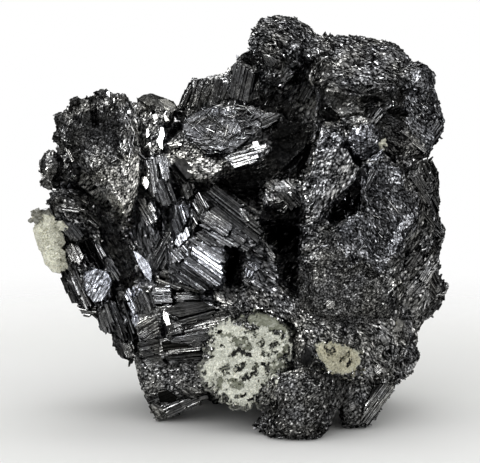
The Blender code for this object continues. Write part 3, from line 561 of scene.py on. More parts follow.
def skin_mesh(name, corners, faces, finish):
    """The faces as a mesh, with what the material reads: each face's shine and tint, and each corner's
    place across the grain."""
    used, faces = np.unique(faces, return_inverse=True)
    faces = faces.reshape(-1, 3)
    corners = corners[used]
    edges = corners[faces]
    normals = unit(np.cross(edges[:, 1] - edges[:, 0], edges[:, 2] - edges[:, 0]))
    across = np.round(unit(np.cross(normals, finish.along)) * ACROSS_STEPS) / ACROSS_STEPS
    face_of = np.repeat(np.arange(len(faces)), 3)
    spots, along = corners[faces.reshape(-1)], finish.along[face_of]
    run = dots(spots, along) * (1 - 1 / finish.stretch[face_of])
    return new_mesh(name, corners, faces.tolist(), speckle=np.minimum(1.0, 0.12 + 0.22 * finish.grain),
                    shine=finish.shine, tint=finish.tint, stripe=dots(spots, across[face_of]),
                    place=(spots - along * run[:, None]) / finish.grain_size[face_of][:, None])


# ---------------------------------------------------------------- blocks: grains, crystals and laths
SIDES = [(0, 1, 5, 4), (1, 2, 6, 5), (2, 3, 7, 6), (3, 0, 4, 7)]
BLOCK_FACES = np.array([(0, 3, 2, 1), (4, 5, 6, 7), *SIDES])
LATH_FACES = np.array([(0, 3, 2, 1), (8, 9, 10, 11), *SIDES, (4, 5, 9, 8), (5, 6, 10, 9), (6, 7, 11, 10),
                       (7, 4, 8, 11)])
SIGNS = np.array([(-1, -1), (1, -1), (1, 1), (-1, 1)])
BLOCK_CELL = 0.14  # width of the tiny faces on a block, in mm
CELL_STRETCH = 2.5  # how much longer than wide they are


def uneven(rng, count, least=0.4, most=3.4):
    """Shares of the shine: most faces are dim, a few are bright."""
    return least + (most - least) * rng.random(count) ** 4


def block_rows(rng, centre, **rows):
    """What block_mesh() reads: arrays, one row for each block. A single value stands for all of them."""
    rows = {"centre": centre, **rows, "phase": rng.uniform(0, 90, len(centre))}
    return {key: np.full(len(centre), row) if np.ndim(row) == 0 else row for key, row in rows.items()}


def joined(sets):
    return {key: np.concatenate([rows[key] for rows in sets]) for key in sets[0]}


def block_mesh(name, blocks, bevelled=True):
    """One mesh of many closed blocks."""
    centre, out = blocks["centre"], unit(blocks["out"])
    along = unit(blocks["along"] - out * dots(blocks["along"], out)[:, None])
    side = np.cross(out, along)
    length, width = blocks["length"] / 2, blocks["width"] / 2
    height, inset = blocks["height"], blocks["inset"]

    def ring(half_length, half_width, level, tilt):
        """Four corners round the axis, in order, for every block: an array (blocks, 4, 3)."""
        beside = SIGNS[None, :, 1] * half_width[:, None]
        reach = SIGNS[None, :, 0] * half_length[:, None] + blocks["skew"][:, None] * beside
        raised = level[:, None] + tilt[:, :1] * reach + tilt[:, 1:] * beside
        return (centre[:, None] + along[:, None] * reach[..., None] + side[:, None] * beside[..., None]
                + out[:, None] * raised[..., None])

    rings = [ring(length, width, -blocks["depth"], np.zeros_like(blocks["tilt"]))]
    if bevelled:
        rings.append(ring(length, width, height - inset, blocks["tilt"]))
    rings.append(ring(length - inset, width - inset, height, blocks["tilt"]))
    corners = np.concatenate(rings, axis=1)
    corners = drawn_in(corners.reshape(-1, 3)).reshape(corners.shape)
    count, per_block = corners.shape[:2]
    pattern = LATH_FACES if bevelled else BLOCK_FACES
    faces = (pattern[None] + np.arange(count)[:, None, None] * per_block).reshape(-1, 4)
    stripe = SIGNS[None, :, 1] * width[:, None] + blocks["phase"][:, None]
    offset = corners - centre[:, None]
    place = np.stack([np.einsum("ijk,ik->ij", offset, axis) for axis in (along, side, out)], axis=2)
    place = place / (BLOCK_CELL * np.array([CELL_STRETCH, 1.0, 1.0])) + blocks["phase"][:, None, None]
    kept = {key: np.repeat(blocks[key], per_block)
            for key in ("speckle", "shine", "tint", "pit") if key in blocks}
    return new_mesh(name, corners.reshape(-1, 3), faces.tolist(), place=place.reshape(-1, 3),
                    stripe=np.concatenate([stripe] * len(rings), axis=1).reshape(-1), **kept)


GRAINS_A_PIECE = 15500
GRAIN_SAMPLES = 260000
GRAIN_SPARSENESS = (10.0, 60.0)  # of the places in sight and of the others: more makes fewer grains
GRAIN_SPREAD = (0.7, 1.5)  # least and most of a zone's grain size
GRAIN_SINK = 0.9  # how far grains at the specimen's outline are sunk, as a share of their size
LONGEST_GRAIN = 2.2  # how far a zone's stretch lengthens its grains at most
CRYSTAL_COUNT = 6500
CRYSTAL_WIDTH = (0.22, 0.6)
CRYSTAL_SINK = 0.45  # how far crystals at the specimen's outline are sunk, in mm
CRYSTAL_ZONES = ("shoulder", "flank", "crown", "roof_bright", "hollow", "cavity_block", "cavity_low",
                 "sparkly", "hip", "slope", "laths_right", "side")


def sample_skin(rng, count):
    """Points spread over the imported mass, and the normals there."""
    bm = packed_mesh(MASS)
    bm.normal_update()
    corners, faces = arrays(bm)
    normals = np.array([f.normal[:] for f in bm.faces])
    bm.free()
    a, b, c = corners[faces].transpose(1, 0, 2)
    area = 0.5 * np.linalg.norm(np.cross(b - a, c - a), axis=1)
    face = rng.choice(len(faces), count, p=area / area.sum())
    u, v = rng.random((2, count))
    flip = u + v > 1
    u[flip], v[flip] = 1 - u[flip], 1 - v[flip]
    a, b, c = a[face], b[face], c[face]
    return a + (b - a) * u[:, None] + (c - a) * v[:, None], normals[face]


def leaning(rng, directions, spread):
    """The directions, each turned a little at random."""
    return unit(directions + rng.normal(0, spread, (len(directions), 3)))


def grains(rng):
    """Small crystals all over the skin, half sunk in it, longer along the grain than across it."""
    points, normals = sample_skin(rng, GRAIN_SAMPLES)
    finish, seen = finishes(points, normals)
    keep = rng.random(len(points)) < finish.grain / np.where(seen, *GRAIN_SPARSENESS)
    points, normals, finish = points[keep], normals[keep], picked(finish, keep)
    count = len(points)
    size = finish.grain_size * rng.uniform(*GRAIN_SPREAD, count)
    return block_rows(
        rng, points - normals * (GRAIN_SINK * size * edge_on(normals))[:, None],
        along=leaning(rng, finish.along, 0.35), out=leaning(rng, normals, 0.13), width=size,
        length=size * rng.uniform(1.4, 2.8, count) * np.minimum(finish.stretch, LONGEST_GRAIN),
        height=size * rng.uniform(-0.05, 0.2, count), depth=size * 0.8,
        inset=size * rng.uniform(0.1, 0.3, count),
        tilt=rng.normal(0, 0.12, (count, 2)), skew=rng.normal(0, 0.4, count),
        shine=finish.shine * uneven(rng, count, 0.3, 2.8), tint=finish.tint, speckle=0.6)


def crystals(rng):
    """Stubby crystals a millimetre or so long, set in the skin where no bundle of laths lies."""
    points, normals = sample_skin(rng, CRYSTAL_COUNT)
    finish, _ = finishes(points, normals)
    blocky = [index for index, name in enumerate(ZONES) if name in CRYSTAL_ZONES] + [-1]
    keep = np.isin(zones_at(points, normals)[0], blocky)
    points, normals, finish = points[keep], normals[keep], picked(finish, keep)
    count, edge = len(points), edge_on(normals)
    width = between(CRYSTAL_WIDTH, rng.random(count) ** 2) * (1 - 0.5 * edge)
    return block_rows(
        rng, points - normals * (CRYSTAL_SINK * edge)[:, None],
        along=leaning(rng, finish.along, 0.3), out=leaning(rng, normals, 0.14), width=width,
        length=width * rng.uniform(1.2, 3.0, count), height=rng.uniform(-0.14, 0.08, count),
        depth=width * 1.2, inset=width * rng.uniform(0.08, 0.3, count), tilt=rng.normal(0, 0.12, (count, 2)),
        skew=rng.normal(0, 0.5, count), shine=finish.shine * uneven(rng, count, 0.4, 2.2), tint=finish.tint,
        speckle=0.6)


# Crystal faces that stand out of the skin. along: the direction of their striations, in degrees from
# across. lath: the width of the laths that make them up, in mm, 0 for a plain face. lift: how far they
# stand out, in mm. shine: how bright they reflect; the faces turned furthest toward the light have the
# highest shine, which paints part of their highlight in. glint: how far they turn toward the light, 0 to 1.
# speckle: how much the tiny crystals on a plain face differ.
Slab = table("along lath lift shine glint tint speckle", (0.0, 0.0, 0.08))

SLABS = [
    # the striated crystals left of the middle
    Slab("201,196 215,186 240,206 263,232 257,244 234,226 211,209", -39, 0.2, 0.3, 0.088, 0.05, 0.2),
    Slab("190,196 200,193 211,208 205,214 194,232 188,214", -60, 0.3, 0.2, 0.15, 0.1, 0.1),
    Slab("206,213 211,211 233,227 228,239 203,222", -36, 0.2, 0.55, 0.25, 0.3, 0.2),
    Slab("235,227 247,237 244,246 230,240", -36, 0.24, 0.45, 0.18, 0.3, 0.2),
    Slab("200,226 204,223 241,245 239,250 222,246", -32, 0.24, 0.4, 0.25, 0.4, 0.3),
    Slab("197,232 203,231 222,247 214,247 197,239", -36, 0.24, 0.2, 0.1, 0.0, 0.2),
    Slab("241,245 249,243 252,250 244,253", -32, 0.3, 0.5, 0.2, 0.4, 0.3),
    Slab("239,208 243,210 249,222 247,226 241,216", -58, 0.24, 0.5, 0.22, 0.3, 0.1),
    Slab("191,241 197,240 225,258 226,264 208,252", -34, 0.24, 0.5, 0.28, 0.3, 0.4),
    Slab("190,245 198,246 222,262 225,272 224,280 206,268 193,255", -36, 0.3, 0.55, 0.47, 0.5, 0.6),
    Slab("186,257 194,258 223,281 222,288 212,284 184,264", -36, 0.24, 0.45, 0.31, 0.35, 0.5),
    Slab("172,250 190,244 191,256 182,262 172,264", -50, 0.26, 0.35, 0.18, 0.4, 0.4),
    Slab("170,265 184,266 212,286 204,293 186,284 170,274", -36, 0.24, 0.3, 0.18, 0.2, 0.4),
    Slab("152,274 166,268 186,284 200,292 178,290 154,288", -20, 0.26, 0.25, 0.26, 0.1),
    Slab("247,260 256,257 262,266 258,271 248,266", -40, 0.3, 0.4, 0.28, 0.4, 0.5),
    Slab("245,268 254,270 254,280 246,277", 70, 0.3, 0.4, 0.22, 0.3, 0.6),
    Slab("258,270 266,272 265,282 257,280", -60, 0.3, 0.3, 0.2, 0.2, 0.2),
    Slab("262,243 266,242 275,256 275,262 270,260", -55, 0.22, 0.4, 0.3, 0.4, 0.1),
    Slab("212,286 226,285 240,296 232,305 214,300", -36, 0, 0.3, 0.26, 0.1, 0.0, 0.5),
    Slab("192,177 211,182 207,193 196,192", -50, 0, 0.6, 0.26, 0.1, 0.0, 0.5),
    # the fan of blades below the bright patch
    Slab("150,160 158,157 160,176 156,200 151,190", -80, 0.26, 0.45, 0.49, 0.35, 0.1),
    Slab("159,156 166,157 171,164 170,182 162,178", -74, 0.24, 0.5, 0.66, 0.4, 0.2),
    Slab("158,178 170,184 177,202 166,206 156,200", -68, 0.26, 0.35, 0.43, 0.15, 0.2),
    Slab("172,164 176,163 190,178 188,184 175,180", -48, 0.26, 0.3, 0.07, 0.0, 0.1),
    # A highlight: turned toward the key light and given the highest shine, which paints part of it in.
    Slab("142,177 146,176 150,183 147,190 142,184", -60, 0, 0.6, 1.0, 0.9),
    Slab("138,198 148,200 156,210 158,222 148,226 141,212", -58, 0.24, 0.3, 0.5, 0.4, 0.1),
    Slab("138,187 146,191 155,200 146,202 138,196", -40, 0.24, 0.25, 0.19),
    Slab("183,186 188,183 195,186 194,196 188,200 184,194", -70, 0.26, 0.5, 0.24, 0.3),
    Slab("175,216 181,206 191,205 191,216 184,230 176,244 172,240", -70, 0.24, 0.45, 0.22, 0.3, 0.7),
    Slab("179,232 192,226 190,240 180,248 175,246", -72, 0.24, 0.4, 0.3, 0.3, 0.5),
    Slab("157,240 172,230 174,246 166,268 154,272 152,258", 62, 0.26, 0.3, 0.22, 0.1, 0.2),
    Slab("133,250 140,253 150,263 153,273 152,282 146,277 139,266", -58, 0, 0.6, 0.15, 0.5, 0.8),
    Slab("128,244 136,240 140,250 133,252", -60, 0.24, 0.2, 0.3, 0.2, 0.1),
    # the stepped blades down the left
    Slab("68,244 79,245 84,258 81,266 72,262 67,252", -64, 0.3, 0.4, 0.24, 0.35, 0.1),
    Slab("84,243 93,241 100,252 104,266 97,268 88,256", -60, 0.3, 0.3, 0.08, 0.0, 0.1),
    Slab("95,241 98,240 108,256 106,260 100,252", -58, 0.1, 0.5, 0.24, 0.5, 0.2),
    Slab("106,256 109,256 119,276 118,284 112,272", -62, 0.1, 0.5, 0.24, 0.5, 0.2),
    Slab("88,271 97,268 108,271 113,280 110,292 103,301 94,302 86,292 84,279",
        60, 0, 0.6, 0.12, 0.3, 0.8, 0.3),
    Slab("60,268 68,272 76,288 82,302 76,304 66,290", -64, 0.3, 0.3, 0.085, 0.3, 0.1),
    Slab("72,268 80,272 86,290 94,306 88,312 80,300 72,282", -64, 0.3, 0.45, 0.085, 0.2, 0.1),
    Slab("78,303 88,308 97,306 98,312 90,316 82,311", -10, 0.3, 0.4, 0.24, 0.3),
    Slab("98,305 106,303 115,322 114,331 107,333 101,326", -68, 0.3, 0.45, 0.2, 0.3, 0.1),
    Slab("110,300 116,300 128,330 130,340 122,338 115,318", -66, 0.26, 0.5, 0.2, 0.2, 0.1),
    Slab("121,300 126,302 137,330 138,340 131,338", -66, 0.26, 0.4, 0.3, 0.3, 0.3),
    Slab("117,341 134,344 138,360 124,356 119,350", -66, 0.3, 0.3, 0.2, 0.2),
    Slab("127,289 131,288 138,308 137,320 130,306", -66, 0.22, 0.4, 0.4, 0.5, 0.7),
    Slab("66,222 76,224 84,234 80,241 70,238 64,230", -50, 0.26, 0.45, 0.26, 0.3, 0.1),
    Slab("62,204 80,207 86,212 78,214 64,210", -12, 0.24, 0.5, 0.15, 0.4),
    Slab("84,208 91,212 98,226 97,236 92,230 87,218", -58, 0.22, 0.55, 0.24, 0.4),
    # the prisms at the lower left
    Slab("156,290 173,287 175,303 157,305", 3, 0.18, 0.5, 0.2, 0.35, 0.3),
    Slab("177,293 196,291 201,299 178,302", 3, 0.16, 0.4, 0.1, 0.1, 0.1),
    Slab("165,309 181,301 203,301 216,308 180,317 170,313", 9, 0, 0.35, 0.012),
    # A highlight: turned toward the key light and given the highest shine, which paints part of it in.
    Slab("164,309 168,312 171,324 167,325 163,316", -70, 0, 0.6, 1.0, 0.9),
    Slab("178,318 214,307 214,310 184,321", 17, 0.14, 0.55, 0.2, 0.2, 0.1),
    Slab("186,321 214,311 240,308 240,311 206,319", 14, 0.26, 0.3, 0.1),
    Slab("170,324 183,322 184,332 172,335", 10, 0.16, 0.4, 0.21, 0.1),
    Slab("186,323 210,319 238,313 224,321 211,330 186,337", 12, 0.16, 0.4, 0.21, 0.15),
    Slab("172,336 214,328 218,334 192,344 172,342", 8, 0.16, 0.3, 0.18, 0.1, 0.1),
    Slab("139,341 160,338 162,352 168,364 150,362 141,352", 12, 0.18, 0.3, 0.16, 0.1),
    Slab("137,322 146,317 156,318 161,328 157,337 146,340 139,334", 30, 0.16, 0.35, 0.16, 0.1),
    Slab("191,343 207,332 213,335 196,348", 27, 0.2, 0.45, 0.22, 0.3, 0.1),
    Slab("162,341 186,338 189,349 163,351", 5, 0, 0.3, 0.01, 0.0, -0.4),
    Slab("170,351 201,348 201,350 170,354", 5, 0.1, 0.5, 0.24, 0.3),
    Slab("168,355 203,352 203,360 170,361", 5, 0.26, 0.2, 0.12),
    Slab("158,391 168,389 178,397 174,402 160,402", 25, 0, 0.25, 0.012, 0.0, -0.3),
    Slab("162,405 184,398 207,397 188,408 168,417", 25, 0.3, 0.2, 0.14, 0.1),
    Slab("168,407 180,403 182,406 170,412", 25, 0, 0.35, 0.07, 0.2),
    Slab("135,296 150,292 156,305 150,314 136,312", -70, 0.24, 0.25, 0.2, 0.2, 0.2),
    # the columns and the crown
    Slab("181,100 190,82 193,86 186,108 180,111", 70, 0.26, 0.3, 0.38, 0.1),
    Slab("191,80 203,79 204,84 197,106 188,108 194,90", 74, 0.3, 0.35, 0.31, 0.1),
    Slab("206,84 213,82 212,92 206,104 201,99", 74, 0.24, 0.4, 0.57, 0.35),
    Slab("214,80 222,79 222,100 214,103 211,98", 76, 0.28, 0.3, 0.34, 0.1),
    Slab("224,80 230,82 231,98 224,101", 76, 0.28, 0.4, 0.38, 0.2),
    Slab("222,79 228,77 231,84 225,85", 20, 0.3, 0.5, 0.5, 0.4),
    Slab("236,60 242,54 252,49 258,56 258,74 243,64", -34, 0, 0.2, 0.07, 0.1, 0.0, 0.5),
    Slab("235,64 240,63 256,74 252,92 247,102 230,98", 78, 0.2, 0.35, 0.49, 0.1, 0.1),
    Slab("262,54 270,56 278,61 272,68 265,66", -50, 0, 1.0, 0.26, 0.3),
    Slab("298,100 305,82 312,73 318,80 314,92 306,103", 62, 0.24, 0.9, 0.3, 0.4, 0.1),
    Slab("297,66 308,68 299,86 289,84", 60, 0.24, 0.4, 0.19, 0.1, 0.1),
    # the right side
    Slab("366,119 384,112 387,115 376,126 369,125", 24, 0.12, 0.5, 0.3, 0.5, 0.1),
    Slab("398,131 401,131 426,151 424,154", -39, 0.22, 0.4, 0.35, 0.3),
    Slab("427,122 438,118 443,126 438,142 430,150 424,140", 58, 0.26, 0.2, 0.2, 0.2, 0.1),
    Slab("413,209 420,212 413,231 399,246 392,247 404,228", 56, 0.2, 0.25, 0.07, 0.3, 0.4),
    Slab("370,168 376,172 368,188 363,192", 62, 0.24, 0.3, 0.2, 0.3, 0.2),
    Slab("338,146 347,150 353,163 361,170 352,184 341,193 331,202 326,178", 60, 0, 0.3, 0.2, 0.2, 0.1, 0.6),
    Slab("351,188 357,186 360,193 356,199 350,196", 40, 0.16, 1.2, 0.16, 0.0, 0.1),
    Slab("420,162 434,158 440,172 438,184 428,176", -60, 0.26, 0.2, 0.26, 0.2),
    Slab("408,172 418,170 432,196 430,206 420,200", -56, 0.28, 0.2, 0.091, 0.1),
    Slab("430,184 440,184 444,210 440,216 434,206", -68, 0.28, 0.1, 0.18, 0.2),
    Slab("424,208 432,214 442,230 438,240 428,226", -60, 0.26, 0.2, 0.21, 0.2),
    Slab("404,258 416,250 424,262 414,272 404,270", 55, 0.28, 0.2, 0.16, 0.1),
    Slab("420,262 430,252 436,266 428,286 418,280", 60, 0.28, 0.2, 0.21, 0.2),
    Slab("434,266 444,280 442,292 434,300 430,290", -62, 0.28, 0.1, 0.18, 0.2),
    Slab("406,282 418,280 424,296 414,308 404,300", 50, 0.28, 0.2, 0.13, 0.1),
    Slab("324,299 335,300 334,308 326,309", 40, 0, 0.2, 0.12, 0.5, -0.2),
    # the feet
    Slab("373,384 391,382 393,388 378,410 367,424 359,417", 52, 0.17, 0.3, 0.39, 0.25),
    Slab("320,374 350,376 347,400 338,408 333,404 322,396", 60, 0, 0.1, 0.1, 0.1, 0.0, 0.6),
    Slab("258,393 267,381 278,384 276,398 266,404 258,402", 30, 0, 0.4, 0.24, 0.1, 0.0, 0.6),
    Slab("341,390 350,383 357,392 355,410 343,414", 40, 0, 0.2, 0.1, 0.0, 0.0, 0.5),
    Slab("347,402 353,400 355,406 349,408", 20, 0, 0.45, 0.4, 0.5),
    Slab("388,320 396,317 403,322 401,330 391,332", 20, 0, 0.5, 0.2, 0.6, -0.1),
    Slab("378,336 383,334 387,341 382,344", -40, 0, 0.5, 0.35, 0.6),
    Slab("373,366 378,362 382,368 378,375 374,373", 40, 0, 0.4, 0.2, 0.5),
    Slab("300,352 305,344 311,350 311,362 305,366 300,361", 80, 0, 0.35, 0.09),
    # the bright patch, the bud and the thumb
    # A highlight: turned toward the key light and given the highest shine, which paints part of it in.
    Slab("161,127 164,128 165,135 163,142 163,150 160,149 158,143 159,135", -80, 0, 0.6, 1.0, 0.9),
    Slab("152,115 157,113 159,118 154,122", -40, 0, 0.5, 0.22, 0.8, -0.1),
    Slab("163,113 167,116 170,121 165,122", -40, 0, 0.5, 0.22, 0.8, -0.1),
    Slab("146,129 149,128 150,136 147,139", -80, 0, 0.5, 0.6, 0.8),
    Slab("148,143 151,142 152,148 149,148", -70, 0, 0.5, 0.5, 0.8),
    Slab("150,150 158,148 157,155 151,157", -40, 0.24, 0.4, 0.25, 0.6),
    Slab("156,99 166,98 176,105 176,110 168,112 160,108", -30, 0, 0.25, 0.1, 0.5, -0.4),
    Slab("127,111 131,110 132,114 128,115", 0, 0, 0.4, 0.9, 0.8),
    Slab("107,92 110,91 111,99 108,100", -80, 0, 0.5, 0.7, 0.8),
    Slab("71,164 76,162 79,167 75,170", 20, 0, 0.4, 0.35, 0.6),
    Slab("66,147 69,147 77,161 74,162", -62, 0.24, 0.4, 0.5, 0.4),
    # Where the bud turns away from the lamps, these two faces are turned partly toward the key light, and
    # their raised shine is painted light.
    Slab("69,169 82,169 98,183 116,191 122,213 112,212 92,196 78,184", 50, 0, 0.7, 0.34, 0.4, -0.1, 0.6),
    Slab("130,158 140,156 139,184 134,206 127,218 122,204 129,182", 60, 0, 0.25, 0.22, 0.3, -0.2, 0.6),
    Slab("112,204 122,196 130,204 128,218 122,216", 55, 0.26, 0.35, 0.24, 0.3, -0.3),
    Slab("168,145 180,142 184,147 174,150", 10, 0.3, 0.4, 0.4, 0.6, -0.1),
    # the plates
    Slab("183,128 186,134 204,151 224,152 228,149 206,147 190,132", -20, 0.2, 0.25, 0.14, 0.4, 0.2),
    Slab("244,109 252,107 262,117 254,121", -50, 0.22, 0.25, 0.14, 0.2, 0.2),
    Slab("259,119 272,114 280,116 276,123 263,130", 24, 0.24, 0.3, 0.18, 0.2, 0.2),
    Slab("228,122 237,122 242,129 240,136 228,134", 70, 0, 0.2, 0.08, 0.2, 0.4),
    Slab("227,157 252,151 267,147 269,150 256,158 232,164", 12, 0.3, 0.3, 0.4, 0.6, 0.1),
    Slab("232,165 256,159 262,158 252,165 234,168", 12, 0.24, 0.3, 0.36, 0.7, 0.1),
    Slab("252,142 258,141 260,147 253,149", 20, 0, 0.4, 0.41, 0.8),
    Slab("263,186 272,181 288,182 296,190 280,192 268,194", -40, 0.26, 0.4, 0.6, 0.6),
    Slab("276,194 296,194 302,206 290,210", -50, 0.26, 0.3, 0.12, 0.1, 0.1),
]
LATH_DEPTH = 1.2  # how far a lath runs down into the mass, in mm
LATH_STEP = 0.05  # how far neighbouring laths differ in height
LATH_SPREAD = (0.7, 1.5)  # least and most of a bundle's lath width
LATH_ENDS = (-0.1, 0.12)  # how far a lath ends beyond its bundle's outline, in mm
LATH_OVERLAP = 0.93
LATH_SPECKLE = 0.12
DARK_SHARE = 0.3  # share of the laths that are thin, dark and a little lower
DARK_SINK = 0.06
BREAK_SHARE = 0.35  # share of the laths that are broken across
BREAKABLE = 1.2  # laths longer than this may be broken, at least BREAK_MARGIN from their ends, in mm
BREAK_MARGIN = 0.4
SHORTEST_LATH = 0.15
LIT_FROM = np.array(Vector((-0.303, -0.776, 0.553)))  # a face turned this way mirrors the key light
FACE_BEVEL = 0.1
SMOOTH_CELL = 0.4  # width of the tiny faces on a plain face that hardly differ, in mm
PLANE_SPOTS = 12  # spots across and up that a plane is fitted to
PLANE_REACH = 2.5  # how far from their middle those that count lie, in mm

# Thin bright edges and lines on the skin: from one pixel to another. width and lift in mm. They turn partly
# toward the key light, and their shine, above that of the ore round them, paints part of their highlight in.
Streak = namedtuple("Streak", "start end width lift shine", defaults=(0.12, 0.06, 0.3))

STREAKS = [
    Streak((292, 224), (300, 213)), Streak((268, 206), (284, 200)), Streak((280, 212), (288, 204)),
    Streak((298, 184), (302, 200)), Streak((246, 222), (254, 230)), Streak((240, 209), (262, 196), 0.14),
    Streak((350, 226), (362, 229)), Streak((352, 240), (364, 236)), Streak((330, 230), (340, 241)),
    Streak((102, 168), (118, 160)), Streak((108, 190), (126, 182)), Streak((136, 150), (146, 160)),
    Streak((336, 394), (346, 384), 0.2), Streak((386, 384), (362, 412)), Streak((384, 196), (398, 214)),
]

# Fine lines over a whole zone. along: their directions, in degrees. count: how many. length: in pixels.
Hatch = namedtuple("Hatch", "zone along count length width", defaults=((6, 18), 0.08))

HATCHES = [
    Hatch("plate", (38, -38, 72, 10, -10), 160, (6, 26)), Hatch("crown", (-35, -60, 10), 40),
    Hatch("roof_bright", (-30, 20, 60), 40, (4, 12)), Hatch("corner", (-55, 60, 20), 30),
    Hatch("roof_dark", (30, -30), 24), Hatch("roof_shade", (-42, 50), 16), Hatch("hollow", (60, 70), 30),
    Hatch("cheek", (-58, 50, -20), 30, (4, 14)), Hatch("side", (52, -58), 50), Hatch("slope", (-45, 40), 30),
    Hatch("fan", (-72, 60), 40, (5, 14)), Hatch("fan_dark", (-50,), 8), Hatch("tip", (25, 28), 16, (6, 20)),
    Hatch("prisms", (10, 14, -70), 50, (4, 16)), Hatch("bud_streaks", (70, -60), 16, (5, 14)),
    Hatch("ridge", (50, -40), 20, (4, 10)), Hatch("bright_plate", (12, 14), 20, (8, 26), 0.06),
]
HATCH_SHINE = 2.0  # how much brighter the lines are than their zone: painted highlight
HATCH_LIFT = 0.05
STREAK_STEP = 0.35  # a streak whose depth changes by more than this share of its length is left out
STREAK_PROBES = (0.15, 0.5, 0.85)  # where along a streak its depth is taken


def hatched(rng):
    """The streaks that hatch the zones."""
    streaks = []
    for hatch in HATCHES:
        zone = ZONES[hatch.zone]
        corners = [(MIDDLE_COLUMN + across * PIXELS_PER_MM, FOOT_ROW - up * PIXELS_PER_MM)
                   for across, up in zone.corners]
        starts = scattered(rng, corners, hatch.count)
        angles = np.radians(rng.choice(hatch.along, len(starts)) + rng.normal(0, 6, len(starts)))
        lengths = rng.uniform(*hatch.length, len(starts))
        ends = starts + lengths[:, None] * np.column_stack([np.cos(angles), -np.sin(angles)])
        kept = inside(corners, ends)
        streaks += [Streak(start, end, hatch.width, HATCH_LIFT, min(0.8, zone.shine * HATCH_SHINE))
                    for start, end in zip(starts[kept], ends[kept])]
    return streaks


def scattered(rng, corners, count):
    """Up to this many random spots inside an outline."""
    spots = rng.uniform(np.min(corners, axis=0), np.max(corners, axis=0), (count * 4, 2))
    return spots[inside(corners, spots)][:count]


def streak_blocks(rng):
    """One lath for each streak."""
    rows = []
    for streak in STREAKS + hatched(rng):
        start, end = np.array(pixel(*streak.start)), np.array(pixel(*streak.end))
        hits = [front_hit(*(start + (end - start) * share)) for share in STREAK_PROBES]
        length = np.linalg.norm(end - start)
        if None not in hits and max(hits) - min(hits) < STREAK_STEP * length:
            rise = (hits[2] - hits[0]) / (STREAK_PROBES[2] - STREAK_PROBES[0])
            rows.append((*(start + end) / 2, np.median(hits), *(end - start), rise, *streak[2:]))
    rows = np.array(rows)
    count, run = len(rows), rows[:, 3:6]
    return block_rows(
        rng, to_world(rows[:, :3]), along=run @ AXES,
        out=unit(0.6 * TOWARD + 0.4 * LIT_FROM + rng.normal(0, 0.2, (count, 3))),
        length=np.linalg.norm(run, axis=1), width=rows[:, 6], height=rows[:, 7] + 0.02, depth=0.6, inset=0.03,
        tilt=np.zeros((count, 2)), skew=rng.normal(0, 0.5, count),
        shine=rows[:, 8] * rng.uniform(0.6, 1.3, count), tint=0.1, speckle=LATH_SPECKLE)


def zone_plane(corners, tree=mass_tree):
    """The plane that fits the surface inside an outline, toward = base + slope . (across, up): its base
    and its slope."""
    low, high = np.min(corners, axis=0), np.max(corners, axis=0)
    grid = np.meshgrid(*(np.linspace(low[axis], high[axis], PLANE_SPOTS) for axis in (0, 1)))
    spots = np.stack([part.ravel() for part in grid], axis=1)
    hits = front_hits(spots[inside(corners, spots)], tree)
    hits = hits[np.abs(hits[:, 2] - np.median(hits[:, 2])) < PLANE_REACH]
    plane = np.linalg.lstsq(np.column_stack([np.ones(len(hits)), hits[:, :2]]), hits[:, 2], rcond=None)[0]
    return plane[0], plane[1:]


def crossings(corners, along, beside, level):
    """Where the line beside = level crosses the outline, as sorted reaches along it."""
    found = []
    for start, end in zip(corners, np.roll(corners, -1, axis=0)):
        first, last = start @ beside - level, end @ beside - level
        if (first > 0) != (last > 0):
            found.append((start + (end - start) * first / (first - last)) @ along)
    return sorted(found)


def slab_lie(slab):
    """A slab's base and slope, and its striations' and its top's directions in the model's frame."""
    base, slope = zone_plane(slab.corners)
    run = turned(slab.along)
    out = unit(np.array([[*-slope, 1.0]]) @ AXES)
    out = unit(out * (1 - slab.glint) + LIT_FROM * slab.glint)[0]
    lie = unit(np.array([[*run, run @ slope]]) @ AXES)[0]
    return base, slope, lie, out


def slab_blocks(slab, rng):
    """The laths that fill a slab's outline, side by side."""
    corners = np.array(slab.corners)
    along, beside = turned(slab.along), turned(slab.along + 90)
    base, slope, lie, out = slab_lie(slab)
    rows = []
    level, top = (corners @ beside).min(), (corners @ beside).max()
    while level < top:
        dark = rng.random() < DARK_SHARE
        width = slab.lath * rng.uniform(*LATH_SPREAD) * (0.5 if dark else 1.0)
        reaches = crossings(corners, along, beside, level + width / 2)
        for start, end in zip(reaches[::2], reaches[1::2]):
            start, end = start - rng.uniform(*LATH_ENDS), end + rng.uniform(*LATH_ENDS)
            cuts = [start, end]
            if end - start > BREAKABLE and rng.random() < BREAK_SHARE:
                cuts.insert(1, rng.uniform(start + BREAK_MARGIN, end - BREAK_MARGIN))
            rows += [(*((first + last) / 2 * along + (level + width / 2) * beside), last - first, width, dark)
                     for first, last in zip(cuts, cuts[1:]) if last - first > SHORTEST_LATH]
        level += width * LATH_OVERLAP
    across, up, length, width, dark = np.array(rows).T
    count = len(rows)
    return block_rows(
        rng, to_world(np.column_stack([across, up, base + across * slope[0] + up * slope[1]])),
        along=lie + rng.normal(0, 0.012, (count, 3)), out=out + rng.normal(0, 0.045, (count, 3)),
        length=length, width=width, height=slab.lift + rng.normal(0, LATH_STEP, count) - DARK_SINK * dark,
        depth=LATH_DEPTH, inset=width * rng.uniform(0.08, 0.2, count),
        tilt=np.column_stack([rng.normal(0, spread, count) for spread in (0.01, 0.06)]),
        skew=rng.normal(0, 0.5, count), shine=slab.shine * uneven(rng, count, 0.7, 1.8) * (1 - 0.85 * dark),
        tint=slab.tint, speckle=LATH_SPECKLE)


